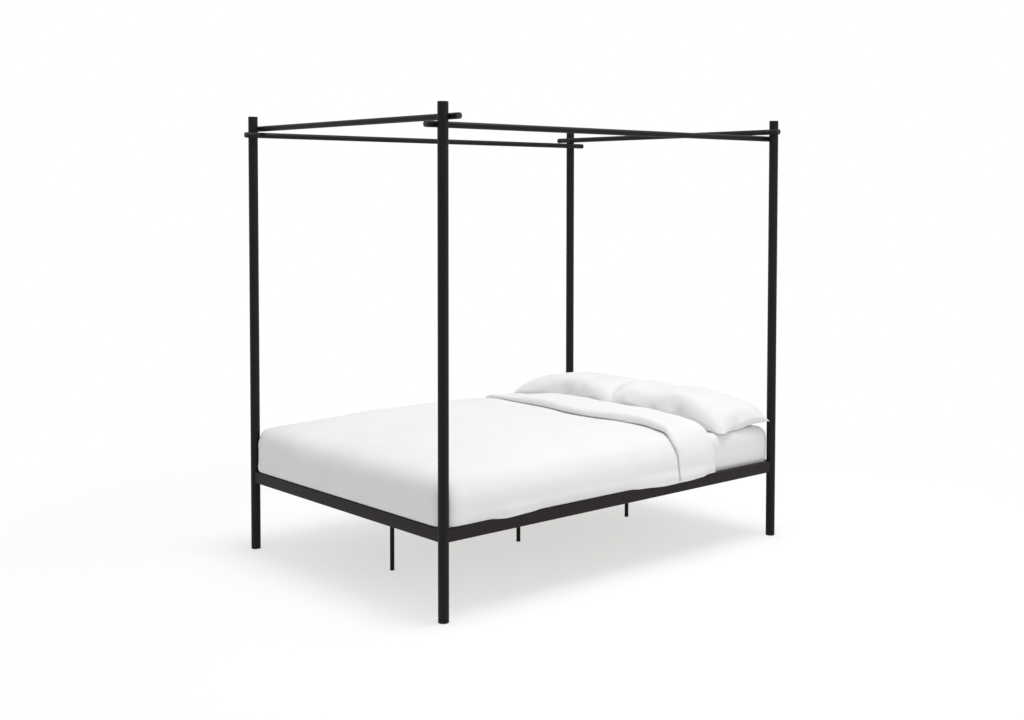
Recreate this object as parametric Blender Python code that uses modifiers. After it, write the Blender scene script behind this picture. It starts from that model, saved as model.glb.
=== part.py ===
"""Four poster canopy bed: a double bed frame in steel tube, with its slats and bedding.

Units are metres and +Z is up. The origin is on the floor at the middle of the bed. +Y points to the head
end and +X to the right, as seen by someone who stands at the foot end and looks at the head end.
"""

import math

import bmesh
import bpy
from mathutils import Vector

# ---- driving dimensions ------------------------------------------------------------------------------
MATTRESS_WIDTH = 1.350
MATTRESS_LENGTH = 1.900
MATTRESS_THICKNESS = 0.190
MATTRESS_GAP = 0.0125  # between the mattress and the base rails, all round
MATTRESS_CORNER = 0.035
MATTRESS_EDGE = 0.025

POST_DIAMETER = 0.042
POST_WALL = 0.0015
BED_HEIGHT = 1.960

CANOPY_RAIL_DIAMETER = 0.025
CANOPY_RAIL_WALL = 0.0012
CANOPY_DROP = 0.054  # from the posts' tops to the end canopy rails' centre lines
CANOPY_RAIL_STEP = 0.030  # the side canopy rails lie this far below the end ones
CANOPY_RAIL_OVERHANG = 0.058  # past the posts' centres

BASE_RAIL_HEIGHT = 0.050
BASE_RAIL_THICKNESS = 0.025
BASE_RAIL_WALL = 0.0015
BASE_RAIL_CORNER = 0.003
BASE_RAIL_TOP = 0.354
MATTRESS_RECESS = 0.024  # the mattress's underside lies this far below the base rails' top

FIT = 0.0003  # gap between pieces that touch

# ---- fasteners ---------------------------------------------------------------------------------------
BOLT_DIAMETER = 0.008
BOLT_HEAD_DIAMETER = 0.014
BOLT_HEAD_HEIGHT = 0.0044
BOLT_HOLE_CLEARANCE = 0.0003
BOLT_END_GAP = 0.001  # from a bolt's tip to the inner end of its welded bush
BUSH_WALL = 0.003
BUSH_LENGTH = 0.009  # inwards from the post's inner wall

# ---- plastic plugs -----------------------------------------------------------------------------------
CAP_THICKNESS = 0.004
CAP_EDGE = 0.0015
GLIDE_THICKNESS = 0.006
GLIDE_EDGE = 0.002
PLUG_DEPTH = 0.016
PLUG_WALL = 0.002
RAIL_CAP_THICKNESS = 0.003
RAIL_CAP_EDGE = 0.0015
RAIL_PLUG_DEPTH = 0.012

# ---- corner brackets ---------------------------------------------------------------------------------
BRACKET_THICKNESS = 0.003
BRACKET_HEIGHT = 0.038
BRACKET_REACH = 0.070  # from the post's centre to the hook's outer face
BRACKET_WEB = 0.031  # from the post's centre to the diagonal web's inner face
HOOK_DEPTH = 0.008  # of the bracket's end inside the base rail's wall
SLOT_CLEARANCE = 0.0004

# ---- centre rail and its legs ------------------------------------------------------------------------
CENTRE_RAIL_WIDTH = 0.030
CENTRE_RAIL_HEIGHT = 0.020
POCKET_LENGTH = 0.036
POCKET_THICKNESS = 0.003
POCKET_CHEEK = 0.014
POCKET_PLATE_WIDTH = 0.056
WELD_DEPTH = 0.0006  # how far a welded piece sinks into what carries it

LEG_DIAMETER = 0.019
LEG_WALL = 0.0015
LEG_COUNT = 3
LEG_INSET = 0.260  # from the end rails' centre planes to the end legs
LEG_FLANGE_DIAMETER = 0.028
LEG_FLANGE_THICKNESS = 0.003
LEG_STUD_DIAMETER = 0.008
LEG_STUD_LENGTH = 0.014
LEG_FOOT_SOLE = 0.005
LEG_FOOT_LIP = 0.0006  # of the sole, past the leg
LEG_PLUG_DEPTH = 0.012

# ---- slats -------------------------------------------------------------------------------------------
SLAT_COUNT = 14
SLAT_WIDTH = 0.070
SLAT_THICKNESS = 0.012
SLAT_ROUNDING = 0.002
SLAT_END_MARGIN = 0.095  # from the mattress's end to the first slat's middle
SLAT_SIDE_GAP = 0.002
LEDGE_WIDTH = 0.022
LEDGE_THICKNESS = 0.003
LEDGE_END_GAP = 0.082  # from the post's centre
TAPE_WIDTH = 0.025
TAPE_THICKNESS = 0.0012
TAPE_INSET = 0.270  # from the side rails' centre planes to the tapes' middles

# ---- bedding -----------------------------------------------------------------------------------------
SHEET_THICKNESS = 0.0012
SHEET_HEM = 0.020  # from the mattress's underside up to the sheet's hem
DUVET_EDGE_TOP = 0.545
DUVET_CROWN = 0.045
DUVET_SHOULDER = 0.125
DUVET_CORNER = 0.100
DUVET_HEM_ROUNDING = 0.016
DUVET_SIDE_BULGE = 0.004  # past the base rails' outer faces
DUVET_CREST = -0.120  # where the duvet is at its highest, in Y
DUVET_CREST_FALL = 0.650  # from the crest to where its rise would end towards the head
TURN_DOWN_SET_BACK = 0.381  # from the mattress's head end to the fold
TURN_DOWN_LENGTH = 0.233
TURN_DOWN_FOLD = 0.020  # how far the fold stands past the lower layer's end
TURN_DOWN_THICKNESS = 0.030
TURN_DOWN_CROWN = 0.028
TURN_DOWN_SIDE = 0.010  # past the duvet's side
TURN_DOWN_DROP = 0.014  # below the base rails' top
PILLOW_LENGTH = 0.700
PILLOW_WIDTH = 0.368
PILLOW_THICKNESS = 0.250
PILLOW_SINK = 0.090  # how much of its lower half is pressed flat
PILLOW_DRAW_IN = 0.020  # how far the sides are drawn in between the corners
PILLOW_GAP = 0.012
PILLOW_SET_BACK = 0.006  # from the mattress's head end to the pillows' back corners

TUBE_SIDES = 24
RAIL_SIDES = 16
BOLT_SIDES = 8

# ---- derived dimensions ------------------------------------------------------------------------------
POST_X = MATTRESS_WIDTH / 2 + MATTRESS_GAP + BASE_RAIL_THICKNESS / 2
POST_Y = MATTRESS_LENGTH / 2 + MATTRESS_GAP + BASE_RAIL_THICKNESS / 2
POST_RADIUS = POST_DIAMETER / 2
POST_BORE = POST_RADIUS - POST_WALL
RAIL_OFFSET = POST_RADIUS + CANOPY_RAIL_DIAMETER / 2 + FIT  # between a canopy rail's line and the post's
END_RAIL_HEIGHT = BED_HEIGHT - CANOPY_DROP
SIDE_RAIL_HEIGHT = END_RAIL_HEIGHT - CANOPY_RAIL_STEP
BASE_RAIL_MIDDLE = BASE_RAIL_TOP - BASE_RAIL_HEIGHT / 2
RAIL_FACE = BASE_RAIL_THICKNESS / 2  # a base rail's face from its centre plane
HOLE_RADIUS = BOLT_DIAMETER / 2 + BOLT_HOLE_CLEARANCE
BUSH_END = POST_BORE - BUSH_LENGTH  # a bush's inner end from the post's centre
MATTRESS_BOTTOM = BASE_RAIL_TOP - MATTRESS_RECESS
MATTRESS_TOP = MATTRESS_BOTTOM + MATTRESS_THICKNESS
SHEET_TOP = MATTRESS_TOP + FIT + SHEET_THICKNESS
SLAT_TOP = MATTRESS_BOTTOM - FIT
SLAT_BOTTOM = SLAT_TOP - SLAT_THICKNESS
CENTRE_RAIL_TOP = SLAT_BOTTOM - FIT
CENTRE_RAIL_BOTTOM = CENTRE_RAIL_TOP - CENTRE_RAIL_HEIGHT
CORNERS = {
    "foot_left": (-1, -1),
    "foot_right": (1, -1),
    "head_left": (-1, 1),
    "head_right": (1, 1),
}


# ---- scene, materials and small helpers --------------------------------------------------------------
def empty_scene():
    for item in list(bpy.data.objects):
        bpy.data.objects.remove(item)


def new_collection(name):
    group = bpy.data.collections.new(name)
    bpy.context.scene.collection.children.link(group)
    return group


def finish(name, colour, roughness, metallic=0.0):
    material = bpy.data.materials.new(name)
    material.use_nodes = True
    shader = material.node_tree.nodes["Principled BSDF"]
    shader.inputs["Base Color"].default_value = (*colour, 1.0)
    shader.inputs["Roughness"].default_value = roughness
    shader.inputs["Metallic"].default_value = metallic
    material.diffuse_color = (*colour, 1.0)
    return material


def add_object(name, mesh, material=None, group=None):
    item = bpy.data.objects.new(name, mesh)
    (group or PARTS).objects.link(item)
    if material:
        mesh.materials.append(material)
    return item


def add_cutter(name, mesh):
    item = add_object(name, mesh, group=CUTTERS)
    item.hide_render = True
    item.display_type = "WIRE"
    return item


def mesh_from(bm, name):
    mesh = bpy.data.meshes.new(name)
    bm.to_mesh(mesh)
    bm.free()
    return mesh


def baked_mesh(item):
    """The object's evaluated mesh with its caps welded; the object itself is removed."""
    bpy.context.view_layer.update()
    evaluated = item.evaluated_get(bpy.context.evaluated_depsgraph_get())
    mesh = bpy.data.meshes.new_from_object(evaluated)
    bm = bmesh.new()
    bm.from_mesh(mesh)
    bmesh.ops.remove_doubles(bm, verts=bm.verts, dist=1e-6)
    bmesh.ops.recalc_face_normals(bm, faces=bm.faces)
    bm.to_mesh(mesh)
    bm.free()
    bpy.data.objects.remove(item)
    return mesh


def cut(item, cutter, operation="DIFFERENCE"):
    modifier = item.modifiers.new(cutter.name, "BOOLEAN")
    modifier.operation = operation
    modifier.object = cutter


def box_mesh(name, size, centre=(0, 0, 0)):
    bm = bmesh.new()
    bmesh.ops.create_cube(bm, size=1.0)
    bmesh.ops.scale(bm, vec=size, verts=bm.verts)
    bmesh.ops.translate(bm, vec=centre, verts=bm.verts)
    return mesh_from(bm, name)


def rod_cutter(name, radius, start, end, sides=BOLT_SIDES):
    """A cutter from start to end, whose flats touch a circle of this radius."""
    start, end = Vector(start), Vector(end)
    corner = radius / math.cos(math.pi / sides)
    bm = bmesh.new()
    bmesh.ops.create_cone(
        bm, cap_ends=True, segments=sides, radius1=corner, radius2=corner, depth=(end - start).length
    )
    cutter = add_cutter(name, mesh_from(bm, name))
    cutter.rotation_mode = "QUATERNION"
    cutter.rotation_quaternion = (end - start).to_track_quat("Z", "Y")
    cutter.location = (start + end) / 2
    return cutter


def turned(name, profile, sides, material, closed=False):
    """A profile of (radius, z) points, top to bottom down its outer side, turned about Z."""
    count = len(profile)
    edges = [(i, i + 1) for i in range(count - 1)]
    if closed:
        edges.append((count - 1, 0))
    mesh = bpy.data.meshes.new(name)
    mesh.from_pydata([(radius, 0, z) for radius, z in profile], edges, [])
    item = add_object(name, mesh, material)
    screw = item.modifiers.new("turn", "SCREW")
    screw.steps = sides
    screw.render_steps = sides
    screw.use_merge_vertices = True
    screw.merge_threshold = 0.00001
    screw.use_smooth_shade = True
    return item


def tube(name, diameter, wall, bottom, top, sides, material):
    outer, inner = diameter / 2, diameter / 2 - wall
    profile = [(outer, top), (outer, bottom), (inner, bottom), (inner, top)]
    return turned(name, profile, sides, material, closed=True)


def quarter_round(radius, outer, edge_z, down=True, steps=2):
    """Points of a rounded edge that leads from a flat end at edge_z to the outer radius."""
    sign = -1 if down else 1
    points = []
    for i in range(steps + 1):
        angle = math.pi / 2 * i / steps
        reach = outer - radius + radius * math.sin(angle)
        points.append((reach, edge_z + sign * radius * (1 - math.cos(angle))))
    return points


def rounded_rectangle(width, height, radius, steps=2):
    """Corner-rounded rectangle about the origin, anticlockwise."""
    points = []
    for quarter, (sx, sy) in enumerate(((1, 1), (-1, 1), (-1, -1), (1, -1))):
        for i in range(steps + 1):
            angle = math.pi / 2 * (quarter + i / steps)
            points.append(
                (
                    sx * (width / 2 - radius) + radius * math.cos(angle),
                    sy * (height / 2 - radius) + radius * math.sin(angle),
                )
            )
    return points


def flat_outline(name, outlines, thickness):
    """Closed 2D outlines, the first with the others as holes in it, as a plate about its mid-plane."""
    curve = bpy.data.curves.new(name, "CURVE")
    curve.dimensions = "2D"
    curve.fill_mode = "BOTH"
    curve.extrude = thickness / 2
    for outline in outlines:
        spline = curve.splines.new("POLY")
        spline.points.add(len(outline) - 1)
        for point, (x, y) in zip(spline.points, outline):
            point.co = (x, y, 0, 1)
        spline.use_cyclic_u = True
    item = bpy.data.objects.new(name, curve)
    PARTS.objects.link(item)
    return baked_mesh(item)


def square_tube(name, width, height, wall, corner, length, material):
    """A rounded box section along local Z."""
    outer = rounded_rectangle(width, height, corner)
    inner = rounded_rectangle(width - 2 * wall, height - 2 * wall, max(corner - wall, 0.0008))
    return add_object(name, flat_outline(name, (outer, inner), length), material)


def place(item, location, direction):
    """Put an object at location with its local +Z along direction."""
    item.location = location
    item.rotation_mode = "QUATERNION"
    item.rotation_quaternion = Vector(direction).to_track_quat("Z", "Y")


# ---- fasteners ---------------------------------------------------------------------------------------
def add_bolt(name, head_seat, direction, length):
    """A button-head bolt whose head sits at head_seat and points along direction."""
    shank, head = BOLT_DIAMETER / 2, BOLT_HEAD_DIAMETER / 2
    profile = [
        (0, BOLT_HEAD_HEIGHT),
        (head * 0.55, BOLT_HEAD_HEIGHT),
        (head, BOLT_HEAD_HEIGHT * 0.3),
        (head, 0),
        (shank, 0),
        (shank, -length),
        (0, -length),
    ]
    bolt = turned(name, profile, BOLT_SIDES, ZINC)
    place(bolt, head_seat, direction)
    return bolt


def weld_bush(post, name, axis_point, inward):
    """A threaded bush welded inside a post's wall, and the bolt's hole through both."""
    inner = axis_point + inward * BUSH_END
    outer = axis_point + inward * (POST_BORE + WELD_DEPTH)
    bush = rod_cutter("bush_" + name, HOLE_RADIUS + BUSH_WALL, inner, outer, BOLT_SIDES)
    cut(post, bush, "UNION")
    start = axis_point + inward * (BUSH_END - 0.004)
    hole = rod_cutter("hole_" + name, HOLE_RADIUS, start, axis_point + inward * (POST_RADIUS + 0.004))
    cut(post, hole)


# ---- posts and canopy --------------------------------------------------------------------------------
def build_posts():
    """Four round tubes, each with a plastic plug on top and a glide below."""
    posts = {}
    plug = POST_BORE - FIT
    hollow = plug - PLUG_WALL
    glide_profile = [
        (0, GLIDE_THICKNESS),
        (hollow, GLIDE_THICKNESS),
        (hollow, GLIDE_THICKNESS + PLUG_DEPTH),
        (plug, GLIDE_THICKNESS + PLUG_DEPTH),
        (plug, GLIDE_THICKNESS - FIT),
        (POST_RADIUS, GLIDE_THICKNESS - FIT),
    ]
    glide_profile += reversed(quarter_round(GLIDE_EDGE, POST_RADIUS, 0, down=False))
    glide_profile.append((0, 0))
    rim = BED_HEIGHT - CAP_THICKNESS
    cap_profile = [(0, BED_HEIGHT)]
    cap_profile += quarter_round(CAP_EDGE, POST_RADIUS, BED_HEIGHT)
    cap_profile += [
        (POST_RADIUS, rim + FIT),
        (plug, rim + FIT),
        (plug, rim - PLUG_DEPTH),
        (hollow, rim - PLUG_DEPTH),
        (hollow, rim),
        (0, rim),
    ]
    for corner, (sx, sy) in CORNERS.items():
        centre = Vector((sx * POST_X, sy * POST_Y, 0))
        post = tube("post_" + corner, POST_DIAMETER, POST_WALL, GLIDE_THICKNESS, rim, TUBE_SIDES, STEEL)
        cap = turned("post_cap_" + corner, cap_profile, TUBE_SIDES, PLASTIC)
        glide = turned("post_glide_" + corner, glide_profile, TUBE_SIDES, PLASTIC)
        for item in (post, cap, glide):
            item.location = centre
        posts[corner] = post
    return posts


def build_canopy(posts):
    """Four rails that pass the inner sides of the posts, each bolted to a bush inside each post."""
    radius = CANOPY_RAIL_DIAMETER / 2
    plug = radius - CANOPY_RAIL_WALL - FIT
    cap_profile = [(0, RAIL_CAP_THICKNESS)]
    cap_profile += quarter_round(RAIL_CAP_EDGE, radius, RAIL_CAP_THICKNESS)
    cap_profile += [(radius, FIT), (plug, FIT), (plug, -RAIL_PLUG_DEPTH), (0, -RAIL_PLUG_DEPTH)]
    rails = {
        "foot": (POST_X, Vector((1, 0, 0)), Vector((0, -POST_Y + RAIL_OFFSET, END_RAIL_HEIGHT))),
        "head": (POST_X, Vector((1, 0, 0)), Vector((0, POST_Y - RAIL_OFFSET, END_RAIL_HEIGHT))),
        "left": (POST_Y, Vector((0, 1, 0)), Vector((-POST_X + RAIL_OFFSET, 0, SIDE_RAIL_HEIGHT))),
        "right": (POST_Y, Vector((0, 1, 0)), Vector((POST_X - RAIL_OFFSET, 0, SIDE_RAIL_HEIGHT))),
    }
    head_seat = RAIL_OFFSET + radius + FIT
    bolt_length = head_seat - BUSH_END - BOLT_END_GAP
    for side, (reach, axis, middle) in rails.items():
        half = reach + CANOPY_RAIL_OVERHANG - RAIL_CAP_THICKNESS
        name = "canopy_rail_" + side
        rail = tube(name, CANOPY_RAIL_DIAMETER, CANOPY_RAIL_WALL, -half, half, RAIL_SIDES, STEEL)
        place(rail, middle, axis)
        for corner, (sx, sy) in CORNERS.items():
            if side not in corner:
                continue
            across = corner.replace(side, "").strip("_")
            sign = sx if side in ("foot", "head") else sy
            cap = turned(f"canopy_rail_cap_{side}_{across}", cap_profile, RAIL_SIDES, PLASTIC)
            place(cap, middle + axis * half * sign, axis * sign)
            inward = Vector((0, -sy, 0)) if side in ("foot", "head") else Vector((-sx, 0, 0))
            centre = Vector((sx * POST_X, sy * POST_Y, middle.z))
            weld_bush(posts[corner], f"canopy_{side}_{across}", centre, inward)
            hole = rod_cutter(
                f"canopy_rail_hole_{side}_{across}",
                HOLE_RADIUS,
                centre + inward * (POST_RADIUS - 0.004),
                centre + inward * (head_seat + 0.004),
            )
            cut(rail, hole)
            add_bolt(f"canopy_bolt_{side}_{across}", centre + inward * head_seat, inward, bolt_length)


# ---- base frame --------------------------------------------------------------------------------------
def build_base_rails():
    """Four box-section rails between the posts, coped at their ends to sit against the round tubes."""
    rails = {}
    for side in ("foot", "head", "left", "right"):
        end_rail = side in ("foot", "head")
        length = 2 * (POST_X if end_rail else POST_Y)
        rail = square_tube(
            "base_rail_" + side,
            BASE_RAIL_THICKNESS,
            BASE_RAIL_HEIGHT,
            BASE_RAIL_WALL,
            BASE_RAIL_CORNER,
            length,
            STEEL,
        )
        sign = -1 if side in ("foot", "left") else 1
        if end_rail:
            rail.rotation_euler = (math.pi / 2, 0, math.pi / 2)
            rail.location = (0, sign * POST_Y, BASE_RAIL_MIDDLE)
        else:
            rail.rotation_euler = (math.pi / 2, 0, 0)
            rail.location = (sign * POST_X, 0, BASE_RAIL_MIDDLE)
            weld_ledge(rail, side, sign)
        rails[side] = rail
    for corner, (sx, sy) in CORNERS.items():
        cope = rod_cutter(
            "cope_" + corner,
            POST_RADIUS + FIT,
            (sx * POST_X, sy * POST_Y, BASE_RAIL_TOP - BASE_RAIL_HEIGHT - 0.01),
            (sx * POST_X, sy * POST_Y, BASE_RAIL_TOP + 0.01),
            TUBE_SIDES,
        )
        for side in corner.split("_"):
            cut(rails[side], cope)
    return rails


def weld_ledge(rail, side, sign):
    """The flat strip welded along a side rail's inner face, on which the slats lie."""
    width = LEDGE_WIDTH + WELD_DEPTH
    outer = POST_X - RAIL_FACE + WELD_DEPTH
    size = (width, 2 * (POST_Y - LEDGE_END_GAP), LEDGE_THICKNESS)
    top = SLAT_BOTTOM - FIT
    centre = (sign * (outer - width / 2), 0, top - LEDGE_THICKNESS / 2)
    ledge = add_cutter("ledge_" + side, box_mesh("ledge", size, centre))
    cut(rail, ledge, "UNION")


def bracket_outline(sx, sy):
    """Plan of a plate folded round the inner side of a post, its ends hooked into both base rails."""
    near = RAIL_FACE + FIT
    far = near + BRACKET_THICKNESS
    hook = RAIL_FACE - HOOK_DEPTH
    reach = BRACKET_REACH
    hook_near = reach - BRACKET_THICKNESS
    web_in = (BRACKET_WEB - BRACKET_THICKNESS) * math.sqrt(2)
    web_out = BRACKET_WEB * math.sqrt(2)
    half = [
        (reach, far),
        (reach, hook),
        (hook_near, hook),
        (hook_near, near),
        (web_in - near, near),
    ]
    outline = half + [(y, x) for x, y in reversed(half)]
    outline += [(far, web_out - far), (web_out - far, far)]
    return [(-sx * x, -sy * y) for x, y in outline]


def build_corner_brackets(posts, base_rails):
    """Folded plates that hook into two base rails; one bolt through each pulls the post into them."""
    slot_size = (BRACKET_THICKNESS + 2 * SLOT_CLEARANCE, 0.02, BRACKET_HEIGHT + 2 * SLOT_CLEARANCE)
    head_seat = BRACKET_WEB + FIT
    bolt_length = head_seat - BUSH_END - BOLT_END_GAP
    for corner, (sx, sy) in CORNERS.items():
        centre = Vector((sx * POST_X, sy * POST_Y, BASE_RAIL_MIDDLE))
        mesh = flat_outline("bracket", (bracket_outline(sx, sy),), BRACKET_HEIGHT)
        bracket = add_object("corner_bracket_" + corner, mesh, STEEL)
        bracket.location = centre
        middle = BRACKET_REACH - BRACKET_THICKNESS / 2
        end, side = corner.split("_")
        for rail, along, inward in ((end, (-sx, 0), (0, -sy)), (side, (0, -sy), (-sx, 0))):
            slot = add_cutter(f"slot_{corner}_{rail}", box_mesh("slot", slot_size))
            slot.location = centre + Vector((*along, 0)) * middle + Vector((*inward, 0)) * RAIL_FACE
            slot.rotation_euler.z = 0 if rail == end else math.pi / 2
            cut(base_rails[rail], slot)
        inward = Vector((-sx, -sy, 0)).normalized()
        weld_bush(posts[corner], "corner_" + corner, centre, inward)
        hole = rod_cutter(
            "bracket_hole_" + corner,
            HOLE_RADIUS,
            centre + inward * (POST_RADIUS - 0.010),
            centre + inward * (head_seat + 0.002),
        )
        for item in (bracket, base_rails[end], base_rails[side]):
            cut(item, hole)
        add_bolt("corner_bolt_" + corner, centre + inward * head_seat, inward, bolt_length)


def weld_pocket(rail, end, sy):
    """The channel welded on an end rail's inner face, in which the centre rail lies."""
    bottom = CENTRE_RAIL_BOTTOM - FIT - POCKET_THICKNESS
    top = BASE_RAIL_MIDDLE + BASE_RAIL_HEIGHT / 4
    face = POST_Y - RAIL_FACE
    depth = POCKET_THICKNESS + WELD_DEPTH
    size = (POCKET_PLATE_WIDTH, depth, top - bottom)
    centre = (0, sy * (face + WELD_DEPTH - depth / 2), (top + bottom) / 2)
    plate = add_cutter("pocket_plate_" + end, box_mesh("plate", size, centre))
    inner = CENTRE_RAIL_WIDTH / 2 + FIT
    outer = inner + POCKET_THICKNESS
    floor = bottom + POCKET_THICKNESS
    half = [(outer, bottom), (outer, bottom + POCKET_CHEEK), (inner, bottom + POCKET_CHEEK), (inner, floor)]
    outline = half + [(-x, z) for x, z in reversed(half)]
    channel = add_cutter("pocket_channel_" + end, flat_outline("channel", (outline,), POCKET_LENGTH))
    channel.rotation_euler = (math.pi / 2, 0, 0)
    channel.location = (0, sy * (face - POCKET_THICKNESS - POCKET_LENGTH / 2 + WELD_DEPTH), 0)
    cut(rail, plate, "UNION")
    cut(rail, channel, "UNION")


def build_centre_support(base_rails):
    """The rail under the middle of the slats, and the legs whose studs stand in its underside."""
    for end, sy in (("foot", -1), ("head", 1)):
        weld_pocket(base_rails[end], end, sy)
    half = POST_Y - RAIL_FACE - POCKET_THICKNESS - FIT
    rail = square_tube(
        "centre_rail",
        CENTRE_RAIL_WIDTH,
        CENTRE_RAIL_HEIGHT,
        BASE_RAIL_WALL,
        BASE_RAIL_CORNER,
        2 * half,
        STEEL,
    )
    rail.rotation_euler = (math.pi / 2, 0, 0)
    rail.location = (0, 0, (CENTRE_RAIL_TOP + CENTRE_RAIL_BOTTOM) / 2)
    flange_top = CENTRE_RAIL_BOTTOM - FIT
    flange_bottom = flange_top - LEG_FLANGE_THICKNESS
    stud, flange = LEG_STUD_DIAMETER / 2, LEG_FLANGE_DIAMETER / 2
    outer, inner = LEG_DIAMETER / 2, LEG_DIAMETER / 2 - LEG_WALL
    leg_profile = [
        (0, flange_top + LEG_STUD_LENGTH),
        (stud, flange_top + LEG_STUD_LENGTH),
        (stud, flange_top),
        (flange, flange_top),
        (flange, flange_bottom),
        (outer, flange_bottom),
        (outer, LEG_FOOT_SOLE + FIT),
        (inner, LEG_FOOT_SOLE + FIT),
        (inner, flange_bottom),
        (0, flange_bottom),
    ]
    plug, plug_top = inner - FIT, LEG_FOOT_SOLE + LEG_PLUG_DEPTH
    lip = outer + LEG_FOOT_LIP
    foot_profile = [(0, plug_top), (plug, plug_top), (plug, LEG_FOOT_SOLE), (lip, LEG_FOOT_SOLE)]
    foot_profile += reversed(quarter_round(GLIDE_EDGE, lip, 0, down=False))
    foot_profile.append((0, 0))
    names = {-1: "foot", 0: "middle", 1: "head"}
    pitch = 2 * (POST_Y - LEG_INSET) / (LEG_COUNT - 1)
    for index in range(LEG_COUNT):
        step = index - (LEG_COUNT - 1) / 2
        name = names.get(step, str(index))
        y = step * pitch
        leg = turned("centre_leg_" + name, leg_profile, RAIL_SIDES, STEEL)
        foot = turned("centre_leg_foot_" + name, foot_profile, RAIL_SIDES, PLASTIC)
        for item in (leg, foot):
            item.location = (0, y, 0)
        start = (0, y, CENTRE_RAIL_BOTTOM - 0.004)
        end = (0, y, CENTRE_RAIL_BOTTOM + BASE_RAIL_WALL + 0.004)
        cut(rail, rod_cutter("stud_hole_" + name, stud + BOLT_HOLE_CLEARANCE, start, end, RAIL_SIDES))


# ---- slats -------------------------------------------------------------------------------------------
def build_slats():
    """One roll of pine slats, stapled underneath to two webbing tapes."""
    half = POST_X - RAIL_FACE - SLAT_SIDE_GAP
    span = MATTRESS_LENGTH - 2 * SLAT_END_MARGIN
    middle = (SLAT_TOP + SLAT_BOTTOM) / 2
    roll = None
    for index in range(SLAT_COUNT):
        y = -span / 2 + span * index / (SLAT_COUNT - 1)
        mesh = box_mesh("slat", (2 * half, SLAT_WIDTH, SLAT_THICKNESS))
        if roll is None:
            roll = add_object("slat_roll", mesh, WOOD)
            slat = roll
        else:
            slat = add_cutter(f"slat_{index}", mesh)
        slat.location = (0, y, middle)
        bevel = slat.modifiers.new("rounding", "BEVEL")
        bevel.width = SLAT_ROUNDING
        bevel.segments = 1
        if slat is not roll:
            slats.append(slat)
        else:
            slats = []
    tapes = []
    for sign in (-1, 1):
        size = (TAPE_WIDTH, span, TAPE_THICKNESS + WELD_DEPTH)
        tape = add_cutter(f"tape_{sign}", box_mesh("tape", size))
        tape.location = (sign * (POST_X - TAPE_INSET), 0, SLAT_BOTTOM + WELD_DEPTH - size[2] / 2)
        tapes.append(tape)
    for piece in tapes + slats:
        cut(roll, piece, "UNION")


# ---- bedding -----------------------------------------------------------------------------------------
def rounded_block(name, low, high, corner, core_steps, rise=None, hem=None, edge_steps=2):
    """A block from low to high with softly rounded edges, from an evenly divided cube.

    corner holds the edges' radii along X, Y and Z, hem the lower edges' radius along Z, and rise lifts
    the top by a height that depends on where a point lies.
    """
    low, high = Vector(low), Vector(high)
    steps = core_steps + 2 * edge_steps
    bm = bmesh.new()
    bmesh.ops.create_cube(bm, size=2.0)
    bmesh.ops.subdivide_edges(bm, edges=bm.edges, cuts=steps - 1, use_grid_fill=True)
    centre, reach_out = (low + high) / 2, (high - low) / 2
    hem = hem or corner[2]
    centre.z = (low.z + hem + high.z - corner[2]) / 2
    for vertex in bm.verts:
        core, reach = Vector(), Vector()
        radii, half = Vector(corner), reach_out.copy()
        half.z = high.z - centre.z
        if vertex.co.z < 0:
            radii.z, half.z = hem, centre.z - low.z
        for i in range(3):
            step = round((1 - abs(vertex.co[i])) * steps / 2, 6)
            flat = half[i] - radii[i]
            if step <= edge_steps:
                place_i = flat + radii[i] * (1 - step / edge_steps)
            else:
                place_i = flat * (1 - (step - edge_steps) / (steps / 2 - edge_steps))
            sign = math.copysign(1, vertex.co[i])
            core[i] = sign * min(flat, place_i)
            reach[i] = sign * max(0.0, place_i - flat) / radii[i]
        turn = reach.normalized()
        spot = core + Vector([turn[i] * radii[i] for i in range(3)])
        vertex.co = spot + centre
        share = (vertex.co.z - low.z) / (high.z - low.z)
        if rise:
            vertex.co.z += rise(vertex.co.x, vertex.co.y) * share
    bmesh.ops.triangulate(bm, faces=bm.faces, quad_method="FIXED")
    mesh = mesh_from(bm, name)
    mesh.shade_smooth()
    return mesh


def sheet_block(name, growth, steps=1):
    """The mattress's own form, larger by growth on every side."""
    reach = Vector((MATTRESS_WIDTH / 2 + growth, MATTRESS_LENGTH / 2 + growth, 0))
    low = -reach + Vector((0, 0, MATTRESS_BOTTOM - growth))
    high = reach + Vector((0, 0, MATTRESS_TOP + growth))
    corner = Vector((MATTRESS_CORNER, MATTRESS_CORNER, MATTRESS_EDGE)) + Vector((growth, growth, growth))
    return rounded_block(name, low, high, corner, steps)


def build_mattress():
    """The mattress, and the fitted sheet stretched over its top and sides."""
    add_object("mattress", sheet_block("mattress", 0), TICKING)
    sheet = add_object("fitted_sheet", sheet_block("fitted_sheet", FIT + SHEET_THICKNESS), LINEN)
    inside = add_cutter("sheet_inside", sheet_block("sheet_inside", FIT))
    hem_size = (2 * POST_X, 2 * POST_Y, 2 * (SHEET_HEM + FIT + SHEET_THICKNESS))
    hem = add_cutter("sheet_hem", box_mesh("sheet_hem", hem_size, (0, 0, MATTRESS_BOTTOM - FIT - SHEET_THICKNESS)))
    cut(sheet, inside)
    cut(sheet, hem)


def duvet_rise(x, y):
    """How far the duvet's top swells above its edges."""
    across = min(1.0, abs(x) / (POST_X + RAIL_FACE))
    reach = DUVET_CREST + POST_Y if y < DUVET_CREST else DUVET_CREST_FALL
    along = min(1.0, abs(y - DUVET_CREST) / reach)
    return DUVET_CROWN * (1 - across**4) * (1 - along**2)


def turn_down_rise(x, y):
    """How far the folded band's top swells above its edges, all along its length."""
    return TURN_DOWN_CROWN * (1 - min(1.0, abs(x) / (POST_X + RAIL_FACE)) ** 3)


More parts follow.
